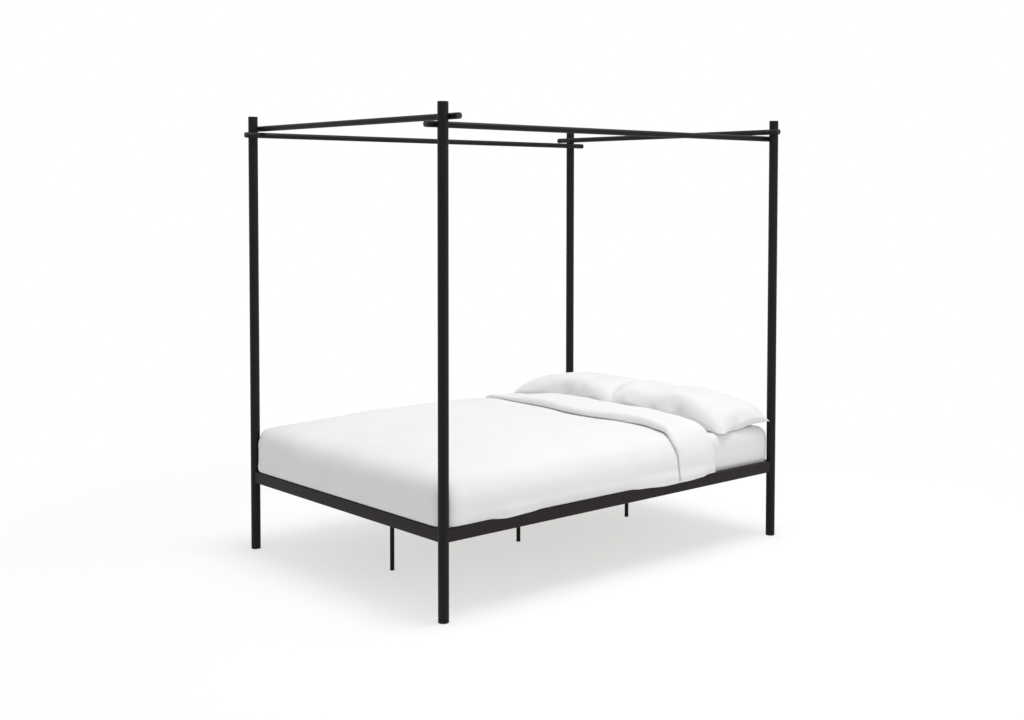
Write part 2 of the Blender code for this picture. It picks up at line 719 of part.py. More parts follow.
def build_duvet():
    """The duvet: it hangs over the rails at the sides and the foot, its head end folded back on itself."""
    side = POST_X + RAIL_FACE + DUVET_SIDE_BULGE
    foot = -POST_Y - RAIL_FACE + DUVET_SIDE_BULGE
    low = (-side, foot, BASE_RAIL_TOP + FIT)
    fold = MATTRESS_LENGTH / 2 - TURN_DOWN_SET_BACK
    high = (side, fold - TURN_DOWN_FOLD, DUVET_EDGE_TOP)
    corner = (DUVET_CORNER, DUVET_CORNER, DUVET_SHOULDER)
    mesh = rounded_block("duvet", low, high, corner, 6, duvet_rise, DUVET_HEM_ROUNDING)
    duvet = add_object("duvet", mesh, LINEN)
    out = side + TURN_DOWN_SIDE
    low = (-out, fold - TURN_DOWN_LENGTH, BASE_RAIL_TOP - TURN_DOWN_DROP)
    high = (out, fold, DUVET_EDGE_TOP + TURN_DOWN_THICKNESS)
    corner = (DUVET_CORNER, TURN_DOWN_THICKNESS, DUVET_SHOULDER)
    mesh = rounded_block("turn_down", low, high, corner, 4, turn_down_rise, DUVET_HEM_ROUNDING)
    turn_down = add_cutter("turn_down", mesh)
    for sign in (-1, 1):
        size = (BASE_RAIL_THICKNESS + 2 * FIT, 2 * POST_Y, BASE_RAIL_HEIGHT + DUVET_HEM_ROUNDING)
        centre = (sign * POST_X, 0, BASE_RAIL_TOP - BASE_RAIL_HEIGHT + size[2] / 2)
        cut(turn_down, add_cutter(f"turn_down_rail_{sign}", box_mesh("rail", size, centre)))
    cut(duvet, turn_down, "UNION")
    mattress = add_cutter("duvet_inside", sheet_block("duvet_inside", SHEET_THICKNESS + 2 * FIT))
    cut(duvet, mattress)
    for sign in (-1, 1):
        start = (sign * POST_X, -POST_Y, BASE_RAIL_TOP - 0.05)
        end = (sign * POST_X, -POST_Y, DUVET_EDGE_TOP + DUVET_CROWN)
        cut(duvet, rod_cutter(f"duvet_post_{sign}", POST_RADIUS + FIT, start, end, TUBE_SIDES))


def build_pillows():
    """Two plump pillows side by side, pressed flat where they lie on the sheet."""
    across, along = 16, 12
    for name, sign in (("pillow_left", -1), ("pillow_right", 1)):
        bm = bmesh.new()
        bmesh.ops.create_grid(bm, x_segments=across, y_segments=along, size=1.0)
        for vertex in bm.verts:
            u, v = (math.sin(math.pi / 2 * c) for c in vertex.co.xy)
            swell = (1 - u * u) * (1 - v * v)
            x = (PILLOW_LENGTH / 2 - PILLOW_DRAW_IN * (1 - v * v)) * u
            y = (PILLOW_WIDTH / 2 - PILLOW_DRAW_IN * (1 - u * u)) * v
            vertex.co = Vector((x, y, PILLOW_THICKNESS / 2 * swell**0.42))
        pillow = add_object(name, mesh_from(bm, name), LINEN)
        pillow.data.shade_smooth()
        mirror = pillow.modifiers.new("underside", "MIRROR")
        mirror.use_axis = (False, False, True)
        mirror.merge_threshold = 0.0001
        middle = SHEET_TOP + FIT + PILLOW_THICKNESS / 2 - PILLOW_SINK
        centre_y = MATTRESS_LENGTH / 2 - PILLOW_SET_BACK - PILLOW_WIDTH / 2
        pillow.location = (sign * (PILLOW_LENGTH + PILLOW_GAP) / 2, centre_y, middle)
        bed = add_cutter(name + "_bed", sheet_block("bed", SHEET_THICKNESS + 2 * FIT))
        cut(pillow, bed)


def main():
    posts = build_posts()
    build_canopy(posts)
    base_rails = build_base_rails()
    build_corner_brackets(posts, base_rails)
    build_centre_support(base_rails)
    build_slats()
    build_mattress()
    build_duvet()
    build_pillows()


empty_scene()
PARTS = new_collection("four_poster_bed")
CUTTERS = new_collection("cutters")
STEEL = finish("black_powder_coated_steel", (0.022, 0.021, 0.021), 0.45)
PLASTIC = finish("black_plastic", (0.018, 0.018, 0.018), 0.5)
ZINC = finish("black_zinc", (0.03, 0.03, 0.03), 0.35, 1.0)
WOOD = finish("pine", (0.62, 0.44, 0.26), 0.6)
TICKING = finish("mattress_ticking", (0.80, 0.79, 0.77), 0.9)
LINEN = finish("white_cotton", (0.82, 0.82, 0.83), 0.9)
main()
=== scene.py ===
"""Four poster canopy bed in black steel tube, made up with white bedding, in metres with +Z up."""

import math

import bmesh
import bpy
from mathutils import Matrix, Vector, noise


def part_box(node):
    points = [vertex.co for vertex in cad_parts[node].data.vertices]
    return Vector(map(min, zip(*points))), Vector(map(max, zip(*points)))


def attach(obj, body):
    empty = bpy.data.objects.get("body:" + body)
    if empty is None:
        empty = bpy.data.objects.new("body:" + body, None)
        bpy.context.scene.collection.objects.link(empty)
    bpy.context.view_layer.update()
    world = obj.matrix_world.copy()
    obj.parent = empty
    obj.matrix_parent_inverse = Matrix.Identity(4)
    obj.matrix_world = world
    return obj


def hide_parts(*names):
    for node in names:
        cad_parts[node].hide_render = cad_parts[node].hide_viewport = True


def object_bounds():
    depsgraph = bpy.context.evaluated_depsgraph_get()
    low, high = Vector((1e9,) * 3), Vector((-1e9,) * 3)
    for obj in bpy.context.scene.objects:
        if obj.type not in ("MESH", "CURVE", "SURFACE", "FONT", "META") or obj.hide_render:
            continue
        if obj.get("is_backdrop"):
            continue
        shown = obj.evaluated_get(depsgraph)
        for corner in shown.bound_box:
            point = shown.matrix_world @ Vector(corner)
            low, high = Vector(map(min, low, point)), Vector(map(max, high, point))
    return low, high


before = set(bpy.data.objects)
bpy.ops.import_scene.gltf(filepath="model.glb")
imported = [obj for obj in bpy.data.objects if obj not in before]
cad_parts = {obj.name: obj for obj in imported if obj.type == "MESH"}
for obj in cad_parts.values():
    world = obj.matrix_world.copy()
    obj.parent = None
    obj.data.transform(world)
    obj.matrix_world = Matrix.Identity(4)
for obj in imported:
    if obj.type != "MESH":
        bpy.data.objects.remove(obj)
frame_low, frame_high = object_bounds()


# Posts: four round steel tubes of 42 mm, cut square and powder coated black as single lengths.
# They carry everything else, and stand on moulded glides pushed into their lower ends.
POST_RADIUS = 0.021
POST_WALL = 0.0015
POST_SIDES = 72
MERGE_DISTANCE = 0.00001
CORNERS = ("foot_left", "foot_right", "head_left", "head_right")


def node_centre(node):
    """The middle of a node's box."""
    low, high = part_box(node)
    return (low + high) / 2


def plain_mesh(bm, name):
    """Ends a bmesh as a mesh."""
    mesh = bpy.data.meshes.new(name)
    bm.to_mesh(mesh)
    bm.free()
    return mesh


def shaded_mesh(bm, name, sharp=40):
    """Ends a bmesh as a mesh that faces outwards and is smooth but for edges past the given angle."""
    bmesh.ops.recalc_face_normals(bm, faces=bm.faces)
    mesh = plain_mesh(bm, name)
    mesh.shade_smooth()
    mesh.set_sharp_from_angle(angle=math.radians(sharp))
    return mesh


def turned_mesh(name, profile, sides, closed=False):
    """A profile of (radius, z) points spun once round the Z axis, as a mesh with smooth faces."""
    bm = bmesh.new()
    ring = [bm.verts.new((radius, 0, z)) for radius, z in profile]
    for first, second in zip(ring, ring[1:]):
        bm.edges.new((first, second))
    if closed:
        bm.edges.new((ring[-1], ring[0]))
    whole_turn = {"axis": (0, 0, 1), "angle": 2 * math.pi, "steps": sides, "use_merge": True}
    bmesh.ops.spin(bm, geom=bm.verts[:] + bm.edges[:], **whole_turn)
    bmesh.ops.remove_doubles(bm, verts=bm.verts, dist=MERGE_DISTANCE)
    return shaded_mesh(bm, name)


def tube_profile(radius, wall, low, high, edge):
    """The wall of a tube along Z, with its outer edges broken."""
    outside = [(radius - edge, high), (radius, high - edge), (radius, low + edge), (radius - edge, low)]
    return [*outside, (radius - wall, low), (radius - wall, high)]


def added_object(name, data):
    """A new object in the scene."""
    item = bpy.data.objects.new(name, data)
    bpy.context.scene.collection.objects.link(item)
    return item


def fitted_piece(name, mesh, material, slot, *nodes):
    """Adds a finished piece to the bed in place of its CAD nodes."""
    piece = added_object(name, mesh)
    mesh.materials.clear()
    mesh.materials.append(material)
    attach(piece, "root")
    if nodes:
        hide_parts(*nodes)
    return piece


def turned_piece(name, node, profile, sides, material, slot, closed=False):
    """Adds an upright turned piece on its CAD node's axis, in place of the node."""
    mesh = turned_mesh(name, profile, sides, closed)
    centre = node_centre(node)
    mesh.transform(Matrix.Translation((centre.x, centre.y, 0)))
    fitted_piece(name, mesh, material, slot, node)


def new_material(name):
    """A new material, with its node tree and its object coordinates."""
    material = bpy.data.materials.new(name)
    material.use_nodes = True
    tree = material.node_tree
    return material, tree, tree.nodes.new("ShaderNodeTexCoord").outputs["Object"]


def wired(tree, node, inputs):
    """Sets a shader node's inputs, each to a value or to what another node gives."""
    for socket, value in inputs.items():
        if isinstance(value, bpy.types.NodeSocket):
            tree.links.new(value, node.inputs[socket])
        else:
            node.inputs[socket].default_value = value
    return node


def added_node(tree, kind, inputs, **settings):
    """Adds a shader node with its settings and its inputs."""
    node = tree.nodes.new("ShaderNode" + kind)
    for name, value in settings.items():
        setattr(node, name, value)
    return wired(tree, node, inputs)


def soft_noise(tree, place, scale, detail=2.0):
    """A smooth random share at each place."""
    return added_node(tree, "TexNoise", {"Vector": place, "Scale": scale, "Detail": detail}).outputs["Fac"]


def two_tones(tree, share, dark, light, start=0.0, end=1.0):
    """A colour from dark to light, as a share goes from start to end."""
    ramp = added_node(tree, "ValToRGB", {"Fac": share})
    elements = ramp.color_ramp.elements
    for element, position, tone in ((elements[0], start, dark), (elements[1], end, light)):
        element.position = position
        element.color = (*tone, 1)
    return ramp.outputs["Color"]


def spread(tree, share, low, high):
    """A value from low to high, as a share goes from 0 to 1."""
    return added_node(tree, "MapRange", {"Value": share, "To Min": low, "To Max": high}).outputs["Result"]


def relief(tree, height, strength, distance):
    """The way that the surface faces over a fine relief."""
    inputs = {"Height": height, "Strength": strength, "Distance": distance}
    return added_node(tree, "Bump", inputs).outputs["Normal"]


def painted(material, inputs):
    """The material, with its shader's inputs set."""
    wired(material.node_tree, material.node_tree.nodes["Principled BSDF"], inputs)
    return material


def powder_coat(name, tone):
    """Satin black powder coat: fine orange peel, slight tone drift and a faint haze of dust."""
    material, tree, place = new_material(name)
    drift = soft_noise(tree, place, 9.0, 4.0)
    dark, light = [0.86 * c for c in tone], [1.14 * c for c in tone]
    inputs = {
        "Specular IOR Level": 0.15,
        "Base Color": two_tones(tree, drift, dark, light, 0.3, 0.75),
        "Roughness": spread(tree, drift, 0.44, 0.56),
        "Normal": relief(tree, soft_noise(tree, place, 900.0), 0.25, 0.0003),
    }
    return painted(material, inputs)


black_coat = powder_coat("black_powder_coat", (0.0085, 0.0080, 0.0078))
for corner in CORNERS:
    node = "post_" + corner
    low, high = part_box(node)
    profile = tube_profile(POST_RADIUS, POST_WALL, low.z, high.z, 0.0004)
    turned_piece("post_tube_" + corner, node, profile, POST_SIDES, black_coat, "black_steel", closed=True)


# Post caps: moulded black plugs pushed into the tubes' upper ends. Each shows as a thin round lid
# with a softened rim and a hairline joint where it meets the tube.
FIT = 0.0003
PLUG_RADIUS = POST_RADIUS - POST_WALL - FIT
PLUG_BORE = PLUG_RADIUS - 0.002


def moulded_black(name, tone):
    """Fine-grained matt black moulding."""
    material, tree, place = new_material(name)
    grain = soft_noise(tree, place, 1400.0, 3.0)
    inputs = {
        "Specular IOR Level": 0.35,
        "Base Color": two_tones(tree, grain, [0.8 * c for c in tone], [1.2 * c for c in tone]),
        "Roughness": spread(tree, grain, 0.42, 0.58),
        "Normal": relief(tree, grain, 0.3, 0.0002),
    }
    return painted(material, inputs)


def rounded_rim(radius, rim, z, side=-1):
    """Points round a lid's edge, from its flat face at z out to the full radius."""
    points = []
    for step in range(7):
        angle = math.pi / 2 * step / 6
        points.append((radius - rim * (1 - math.sin(angle)), z + side * rim * (1 - math.cos(angle))))
    return points


black_moulding = moulded_black("black_moulding", (0.019, 0.019, 0.019))
for corner in CORNERS:
    node = "post_cap_" + corner
    low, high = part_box(node)
    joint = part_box("post_" + corner)[1].z + FIT
    profile = [(0, high.z), *rounded_rim(POST_RADIUS, 0.0015, high.z)]
    profile += [(POST_RADIUS, joint + FIT), (POST_RADIUS - FIT, joint)]
    profile += [(PLUG_RADIUS, joint), (PLUG_RADIUS, low.z), (PLUG_BORE, low.z)]
    profile += [(PLUG_BORE, joint + 0.001), (0, joint + 0.001)]
    turned_piece("post_lid_" + corner, node, profile, POST_SIDES, black_moulding, "black_plastic")


# Post glides: the same kind of plug in the lower ends, with a thicker sole and a rounder rim,
# on which the posts stand and slide without marking a floor.
for corner in CORNERS:
    node = "post_glide_" + corner
    low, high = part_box(node)
    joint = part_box("post_" + corner)[0].z - FIT
    profile = [(0, joint), (PLUG_BORE, joint), (PLUG_BORE, high.z), (PLUG_RADIUS, high.z)]
    profile += [(PLUG_RADIUS, joint), (POST_RADIUS - FIT, joint), (POST_RADIUS, joint - FIT)]
    profile += reversed(rounded_rim(POST_RADIUS, 0.002, low.z, side=1))
    profile.append((0, low.z))
    turned_piece("post_foot_glide_" + corner, node, profile, POST_SIDES, black_moulding, "black_plastic")


# Canopy rails: four 25 mm round tubes that pass the inner sides of the posts and run on past them.
# The end rails lie over the side rails with a small gap, and all have plain domed end plugs.
CANOPY_RADIUS = 0.0125
CANOPY_WALL = 0.0012
CANOPY_SIDES = 48
END_LID = 0.003
END_PLUG_DEPTH = 0.012
RAIL_ENDS = {
    "foot": ("left", "right"),
    "head": ("left", "right"),
    "left": ("foot", "head"),
    "right": ("foot", "head"),
}
for side, ends in RAIL_ENDS.items():
    across = side in ("foot", "head")
    axis = 0 if across else 1
    node = "canopy_rail_" + side
    low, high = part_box(node)
    half = (high[axis] - low[axis]) / 2
    profile = tube_profile(CANOPY_RADIUS, CANOPY_WALL, -half, half, 0.0003)
    mesh = turned_mesh("canopy_tube_" + side, profile, CANOPY_SIDES, closed=True)
    turn = Matrix.Rotation(math.pi / 2, 4, "Y" if across else "X")
    mesh.transform(Matrix.Translation(node_centre(node)) @ turn)
    fitted_piece("canopy_tube_" + side, mesh, black_coat, "black_steel", node)
    neck = CANOPY_RADIUS - CANOPY_WALL - FIT
    profile = [(0, END_LID), *rounded_rim(CANOPY_RADIUS, 0.0018, END_LID)]
    profile += [(CANOPY_RADIUS, 0.0005), (CANOPY_RADIUS - FIT, FIT)]
    profile += [(neck, FIT), (neck, -END_PLUG_DEPTH), (0, -END_PLUG_DEPTH)]
    for end in ends:
        name = f"canopy_plug_{side}_{end}"
        node = f"canopy_rail_cap_{side}_{end}"
        sign = 1 if end in ("right", "head") else -1
        mesh = turned_mesh(name, profile, CANOPY_SIDES)
        tip = node_centre(node)
        tip[axis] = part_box(node)[1 if sign > 0 else 0][axis] - sign * END_LID
        if across:
            turn = Matrix.Rotation(sign * math.pi / 2, 4, "Y")
        else:
            turn = Matrix.Rotation(-sign * math.pi / 2, 4, "X")
        mesh.transform(Matrix.Translation(tip) @ turn)
        fitted_piece(name, mesh, black_moulding, "black_plastic", node)


# Canopy bolts: black button-head bolts on the rails' inner sides, with a hexagon socket. Each goes
# through a rail into a bush that is welded inside the post.
BOLT_RADIUS = 0.004
HEAD_RADIUS = 0.007
HEAD_HEIGHT = 0.0044
SOCKET_WIDTH = 0.005
SOCKET_DEPTH = 0.0024


def new_verts(made):
    """The vertices among what a bmesh operator made."""
    return [v for v in made["geom"] if isinstance(v, bmesh.types.BMVert)]


def button_bolt_mesh(name, seat, direction, length):
    """A button-head bolt with a hexagon socket, its head on seat and pointing along direction."""
    bm = bmesh.new()
    bmesh.ops.create_circle(bm, segments=6, radius=SOCKET_WIDTH / 2 / math.cos(math.pi / 6))
    bmesh.ops.translate(bm, vec=(0, 0, HEAD_HEIGHT), verts=bm.verts)
    floor = new_verts(bmesh.ops.extrude_edge_only(bm, edges=bm.edges))
    bmesh.ops.translate(bm, vec=(0, 0, -SOCKET_DEPTH), verts=floor)
    bmesh.ops.contextual_create(bm, geom=floor)
    rim = [e for e in bm.edges if e.is_boundary]
    lid = bmesh.ops.create_circle(bm, segments=36, radius=HEAD_RADIUS * 0.6)
    bmesh.ops.translate(bm, vec=(0, 0, HEAD_HEIGHT), verts=lid["verts"])
    bmesh.ops.bridge_loops(bm, edges=rim + [e for e in bm.edges if e.is_wire])
    steps = [(HEAD_RADIUS * 0.86, HEAD_HEIGHT * 0.78), (HEAD_RADIUS, HEAD_HEIGHT * 0.3)]
    steps += [(HEAD_RADIUS, 0), (BOLT_RADIUS, 0), (BOLT_RADIUS, -length)]
    for radius, z in steps:
        grown = bmesh.ops.extrude_edge_only(bm, edges=[e for e in bm.edges if e.is_boundary])
        for vertex in new_verts(grown):
            vertex.co = Vector((vertex.co.x, vertex.co.y, 0)).normalized() * radius
            vertex.co.z = z
    bmesh.ops.holes_fill(bm, edges=[e for e in bm.edges if e.is_boundary])
    turn = direction.to_track_quat("Z", "Y").to_matrix().to_4x4()
    bmesh.ops.transform(bm, matrix=Matrix.Translation(seat) @ turn, verts=bm.verts)
    return shaded_mesh(bm, name)


def blackened_steel(name):
    """Black zinc plate with a dull metallic sheen."""
    material, tree, place = new_material(name)
    cloud = soft_noise(tree, place, 260.0)
    inputs = {
        "Metallic": 0.9,
        "Base Color": two_tones(tree, cloud, (0.020, 0.020, 0.021), (0.045, 0.044, 0.043)),
        "Roughness": spread(tree, cloud, 0.28, 0.45),
    }
    return painted(material, inputs)


black_zinc = blackened_steel("black_zinc_plate")
for side, ends in RAIL_ENDS.items():
    axis = 1 if side in ("foot", "head") else 0
    inward = Vector((0, 0, 0))
    inward[axis] = -1 if side in ("head", "right") else 1
    for end in ends:
        name = f"canopy_screw_{side}_{end}"
        node = f"canopy_bolt_{side}_{end}"
        low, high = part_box(node)
        length = high[axis] - low[axis]
        seat = node_centre(node) + inward * (length / 2 - HEAD_HEIGHT)
        mesh = button_bolt_mesh(name, seat, inward, length - HEAD_HEIGHT)
        fitted_piece(name, mesh, black_zinc, "black_zinc", node)


# Base rails: 50 by 25 mm box tube between the posts, its ends coped round them. The side rails
# carry a welded ledge for the slats, and the end rails a welded pocket for the centre rail.
RAIL_HEIGHT = 0.050
RAIL_HALF = 0.0125
RAIL_CORNER = 0.003
RAIL_WALL = 0.0015
PLATE = 0.003
WELD_DEPTH = 0.0006
LEDGE_WIDTH = 0.022
LEDGE_END_GAP = 0.082
LEDGE_WELDS = 7
WELD_RUN = 0.028
WELD_RADIUS = 0.002
POCKET_HALF_WIDTH = 0.028
POCKET_CHEEK = 0.014
POCKET_LENGTH = 0.036
HOOK_SLOT = (0.0019, 0.004, 0.0194)
SLOT_FROM_POST = 0.0685
SLAT_THICKNESS = 0.012
# The base rails wear the same black powder coat as the posts, drawn lighter and a little warmer. The extra
# lightness is painted light, standing in for the key lamp on the rails' flat faces.
painted_lit_rail_coat = powder_coat("black_powder_coat_rails_painted_light", (0.0175, 0.0125, 0.0132))


def softened(bm, edges, offset, segments):
    """Rounds edges off."""
    shape = {"affect": "EDGES", "profile": 0.5, "material": -1}
    bmesh.ops.bevel(bm, geom=edges, offset=offset, segments=segments, **shape)


def box_tube(bm, size, wall, corner):
    """Adds a box tube along X, open at both ends, with rounded long edges."""
    made = bmesh.ops.create_cube(bm, size=1.0)
    bmesh.ops.scale(bm, vec=size, verts=made["verts"])
    long_edges = [e for e in bm.edges if abs((e.verts[0].co - e.verts[1].co).normalized().x) > 0.99]
    softened(bm, long_edges, corner, 5)
    ends = [f for f in bm.faces if abs(f.normal.x) > 0.99]
    bmesh.ops.inset_individual(bm, faces=ends, thickness=wall, use_even_offset=True)
    loops = [e for f in ends for e in f.edges]
    bmesh.ops.delete(bm, geom=ends, context="FACES_ONLY")
    bmesh.ops.bridge_loops(bm, edges=loops)
    bmesh.ops.recalc_face_normals(bm, faces=bm.faces)


def plain_box(bm, low, high):
    """Adds a box between two corners, and returns its vertices."""
    low, high = Vector(low), Vector(high)
    verts = bmesh.ops.create_cube(bm, size=1.0)["verts"]
    bmesh.ops.scale(bm, vec=high - low, verts=verts)
    bmesh.ops.translate(bm, vec=(low + high) / 2, verts=verts)
    return verts


def welded_box(bm, low, high, rounding=0.0006, segments=2):
    """Adds a flat bar with softened edges between two corners."""
    edges = list({e for v in plain_box(bm, low, high) for e in v.link_edges})
    softened(bm, edges, rounding, segments)


def applied(item):
    """An object's mesh with its modifiers applied. The object itself is removed."""
    view = bpy.context.evaluated_depsgraph_get()
    mesh = bpy.data.meshes.new_from_object(item.evaluated_get(view))
    bpy.data.objects.remove(item)
    return mesh


def cut_by(mesh, cutters):
    """The mesh with each cutter mesh taken out of it."""
    item = added_object("work", mesh)
    tools = [added_object("tool", cutter) for cutter in cutters]
    for tool in tools:
        item.modifiers.new("cut", "BOOLEAN").object = tool
    result = applied(item)
    for tool in tools:
        bpy.data.objects.remove(tool)
    return result


def round_cutter(start, end, radius, sides=POST_SIDES):
    """A cylinder between two points, whose flats touch the given radius."""
    bm = bmesh.new()
    radius /= math.cos(math.pi / sides)
    depth = (end - start).length
    bmesh.ops.create_cone(bm, cap_ends=True, segments=sides, radius1=radius, radius2=radius, depth=depth)
    turn = (end - start).to_track_quat("Z", "Y").to_matrix().to_4x4()
    bmesh.ops.transform(bm, matrix=Matrix.Translation((start + end) / 2) @ turn, verts=bm.verts)
    return plain_mesh(bm, "cutter")


def slot_cutter(low, high):
    """A box between two points, as a mesh."""
    bm = bmesh.new()
    plain_box(bm, low, high)
    return plain_mesh(bm, "cutter")


def post_axis(corner):
    """The place of a post's axis, and the diagonal that leads inwards from it."""
    centre = node_centre("post_glide_" + corner)
    return centre, Vector((-math.copysign(1, centre.x), -math.copysign(1, centre.y), 0))


def rail_cutters(corner, across):
    """What leaves one end of a base rail: the post's cope, the bolt's way past it and a hook's slot."""
    centre, inward = post_axis(corner)
    centre.z = rail_middle
    rise = Vector((0, 0, 0.1))
    cope = round_cutter(centre - rise, centre + rise, POST_RADIUS + FIT)
    bolt_way = round_cutter(centre + inward * 0.008, centre + inward * 0.024, BOLT_RADIUS + FIT, 24)
    along = Vector((inward.x, 0, 0)) if across else Vector((0, inward.y, 0))
    slot = centre + along * SLOT_FROM_POST + (inward - along) * RAIL_HALF
    thin, deep, tall = HOOK_SLOT
    reach = Vector((thin, deep, tall) if across else (deep, thin, tall))
    return [cope, bolt_way, slot_cutter(slot - reach, slot + reach)]


def weld_bead(bm, start, end, radius):
    """Adds a short run of weld, a low ridge of overlapping ripples with rounded ends."""
    count = max(2, round((end - start).length / radius))
    for i in range(count):
        made = bmesh.ops.create_icosphere(bm, subdivisions=2, radius=radius)
        bmesh.ops.translate(bm, vec=start.lerp(end, i / (count - 1)), verts=made["verts"])


def weld_ledge(bm, sign):
    """Adds the strip along a side rail's inner face, with stitch welds under it."""
    face = post_x - RAIL_HALF
    top = slat_top - SLAT_THICKNESS - FIT
    reach = post_y - LEDGE_END_GAP
    near, far = sorted((sign * (face - LEDGE_WIDTH), sign * (face + WELD_DEPTH)))
    welded_box(bm, (near, -reach, top - PLATE), (far, reach, top))
    half_run = Vector((0, WELD_RUN / 2, 0))
    for i in range(LEDGE_WELDS):
        y = (i - (LEDGE_WELDS - 1) / 2) * (2 * reach - 0.05) / (LEDGE_WELDS - 1)
        seam = Vector((sign * face, y, top - PLATE))
        weld_bead(bm, seam - half_run, seam + half_run, WELD_RADIUS)


def weld_pocket(bm, sign):
    """Adds the plate and channel on an end rail's inner face that hold the centre rail's end."""
    face = post_y - RAIL_HALF
    centre_low, centre_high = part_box("centre_rail")
    bottom = centre_low.z - FIT - PLATE
    near, far = sorted((sign * (face - PLATE), sign * (face + WELD_DEPTH)))
    top = rail_middle + 0.0125
    welded_box(bm, (-POCKET_HALF_WIDTH, near, bottom), (POCKET_HALF_WIDTH, far, top))
    inner, outer = centre_high.x + FIT, centre_high.x + FIT + PLATE
    cheek = bottom + POCKET_CHEEK
    half = [(outer, bottom), (outer, cheek), (inner, cheek), (inner, bottom + PLATE)]
    start = sign * (face - PLATE + WELD_DEPTH)
    ring = [bm.verts.new((x, start, z)) for x, z in half + [(-x, z) for x, z in reversed(half)]]
    channel = bmesh.ops.extrude_face_region(bm, geom=[bm.faces.new(ring)])
    bmesh.ops.translate(bm, vec=(0, -sign * POCKET_LENGTH, 0), verts=new_verts(channel))
    for x in (-outer, outer):
        seam = Vector((x, start - sign * WELD_DEPTH, bottom + 0.002))
        weld_bead(bm, seam, seam + Vector((0, 0, 0.010)), 0.0016)


post_x = node_centre("post_glide_foot_right").x
post_y = node_centre("post_glide_head_right").y
rail_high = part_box("base_rail_left")[1].z
rail_middle = rail_high - RAIL_HEIGHT / 2
slat_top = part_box("slat_roll")[1].z
for side in RAIL_ENDS:
    name = "base_tube_" + side
    across = side in ("foot", "head")
    sign = -1 if side in ("foot", "left") else 1
    bm = bmesh.new()
    box_tube(bm, (2 * (post_x if across else post_y), 2 * RAIL_HALF, RAIL_HEIGHT), RAIL_WALL, RAIL_CORNER)
    if across:
        place = Matrix.Translation((0, sign * post_y, rail_middle))
    else:
        place = Matrix.Translation((sign * post_x, 0, rail_middle)) @ Matrix.Rotation(math.pi / 2, 4, "Z")
    bmesh.ops.transform(bm, matrix=place, verts=bm.verts)
    met = [corner for corner in CORNERS if side in corner]
    cutters = [cutter for corner in met for cutter in rail_cutters(corner, across)]
    tube = cut_by(plain_mesh(bm, "tube"), cutters)
    bm = bmesh.new()
    bm.from_mesh(tube)
    if across:
        weld_pocket(bm, sign)
    else:
        weld_ledge(bm, sign)
    fitted_piece(name, shaded_mesh(bm, name), painted_lit_rail_coat, "black_steel", "base_rail_" + side)


# Corner brackets: 3 mm steel plate folded round the inner side of each post, with both ends hooked
# into slots in the base rails. One bolt through each pulls the post hard against the rails.
CORNER_SEAT = 0.0313
CORNER_BOLT_LENGTH = 0.0195
for corner in CORNERS:
    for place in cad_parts["corner_bracket_" + corner].material_slots:
        place.material = black_coat
    name = "corner_screw_" + corner
    node = "corner_bolt_" + corner
    centre, inward = post_axis(corner)
    inward.normalize()
    seat = centre + inward * CORNER_SEAT
    seat.z = node_centre(node).z
    mesh = button_bolt_mesh(name, seat, inward, CORNER_BOLT_LENGTH)
    fitted_piece(name, mesh, black_zinc, "black_zinc", node)


# Centre rail: a flat box tube under the slats' middles, laid in the end rails' pockets. Three round
# legs carry it, each with a welded top plate, a stud in the rail's underside and a moulded foot.
STUD_LENGTH = 0.014
STUD_RADIUS = 0.004
FLANGE_RADIUS = 0.014
LEG_RADIUS = 0.0095
LEG_BORE = 0.008
LEG_SIDES = 48
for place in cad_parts["centre_rail"].material_slots:
    place.material = black_coat
for spot in ("foot", "middle", "head"):
    node = "centre_leg_" + spot
    low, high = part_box(node)
    top = high.z - STUD_LENGTH
    under = top - PLATE
    profile = [(0, high.z), (STUD_RADIUS - 0.0006, high.z), (STUD_RADIUS, high.z - 0.0006)]
    profile += [(STUD_RADIUS, top), (FLANGE_RADIUS - FIT, top), (FLANGE_RADIUS, top - FIT)]
    profile += [(FLANGE_RADIUS, under + FIT), (FLANGE_RADIUS - FIT, under), (0.0112, under)]
    profile += [(0.0099, under - 0.0008), (LEG_RADIUS, under - 0.0020), (LEG_RADIUS, low.z + FIT)]
    profile += [(LEG_RADIUS - FIT, low.z), (LEG_BORE, low.z), (LEG_BORE, under), (0, under)]
    turned_piece("centre_leg_tube_" + spot, node, profile, LEG_SIDES, black_coat, "black_steel")
    joint = low.z - FIT
    neck = LEG_BORE - FIT
    node = "centre_leg_foot_" + spot
    low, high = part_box(node)
    radius = (high.x - low.x) / 2
    profile = [(0, high.z), (neck - 0.0007, high.z), (neck, high.z - 0.0010), (neck, joint)]
    profile += [(radius - FIT, joint), (radius, joint - FIT)]
    profile += reversed(rounded_rim(radius, 0.002, low.z, side=1))
    profile.append((0, low.z))
    turned_piece("centre_leg_pad_" + spot, node, profile, LEG_SIDES, black_moulding, "black_plastic")


# Slats: one roll of planed pine boards, stapled from below to two woven tapes that keep them at
# an even pitch. The boards' ends lie on the side rails' ledges and their middles on the centre rail.
SLAT_COUNT = 14
SLAT_WIDTH = 0.070
TAPE_WIDTH = 0.025
TAPE_INSET = 0.270


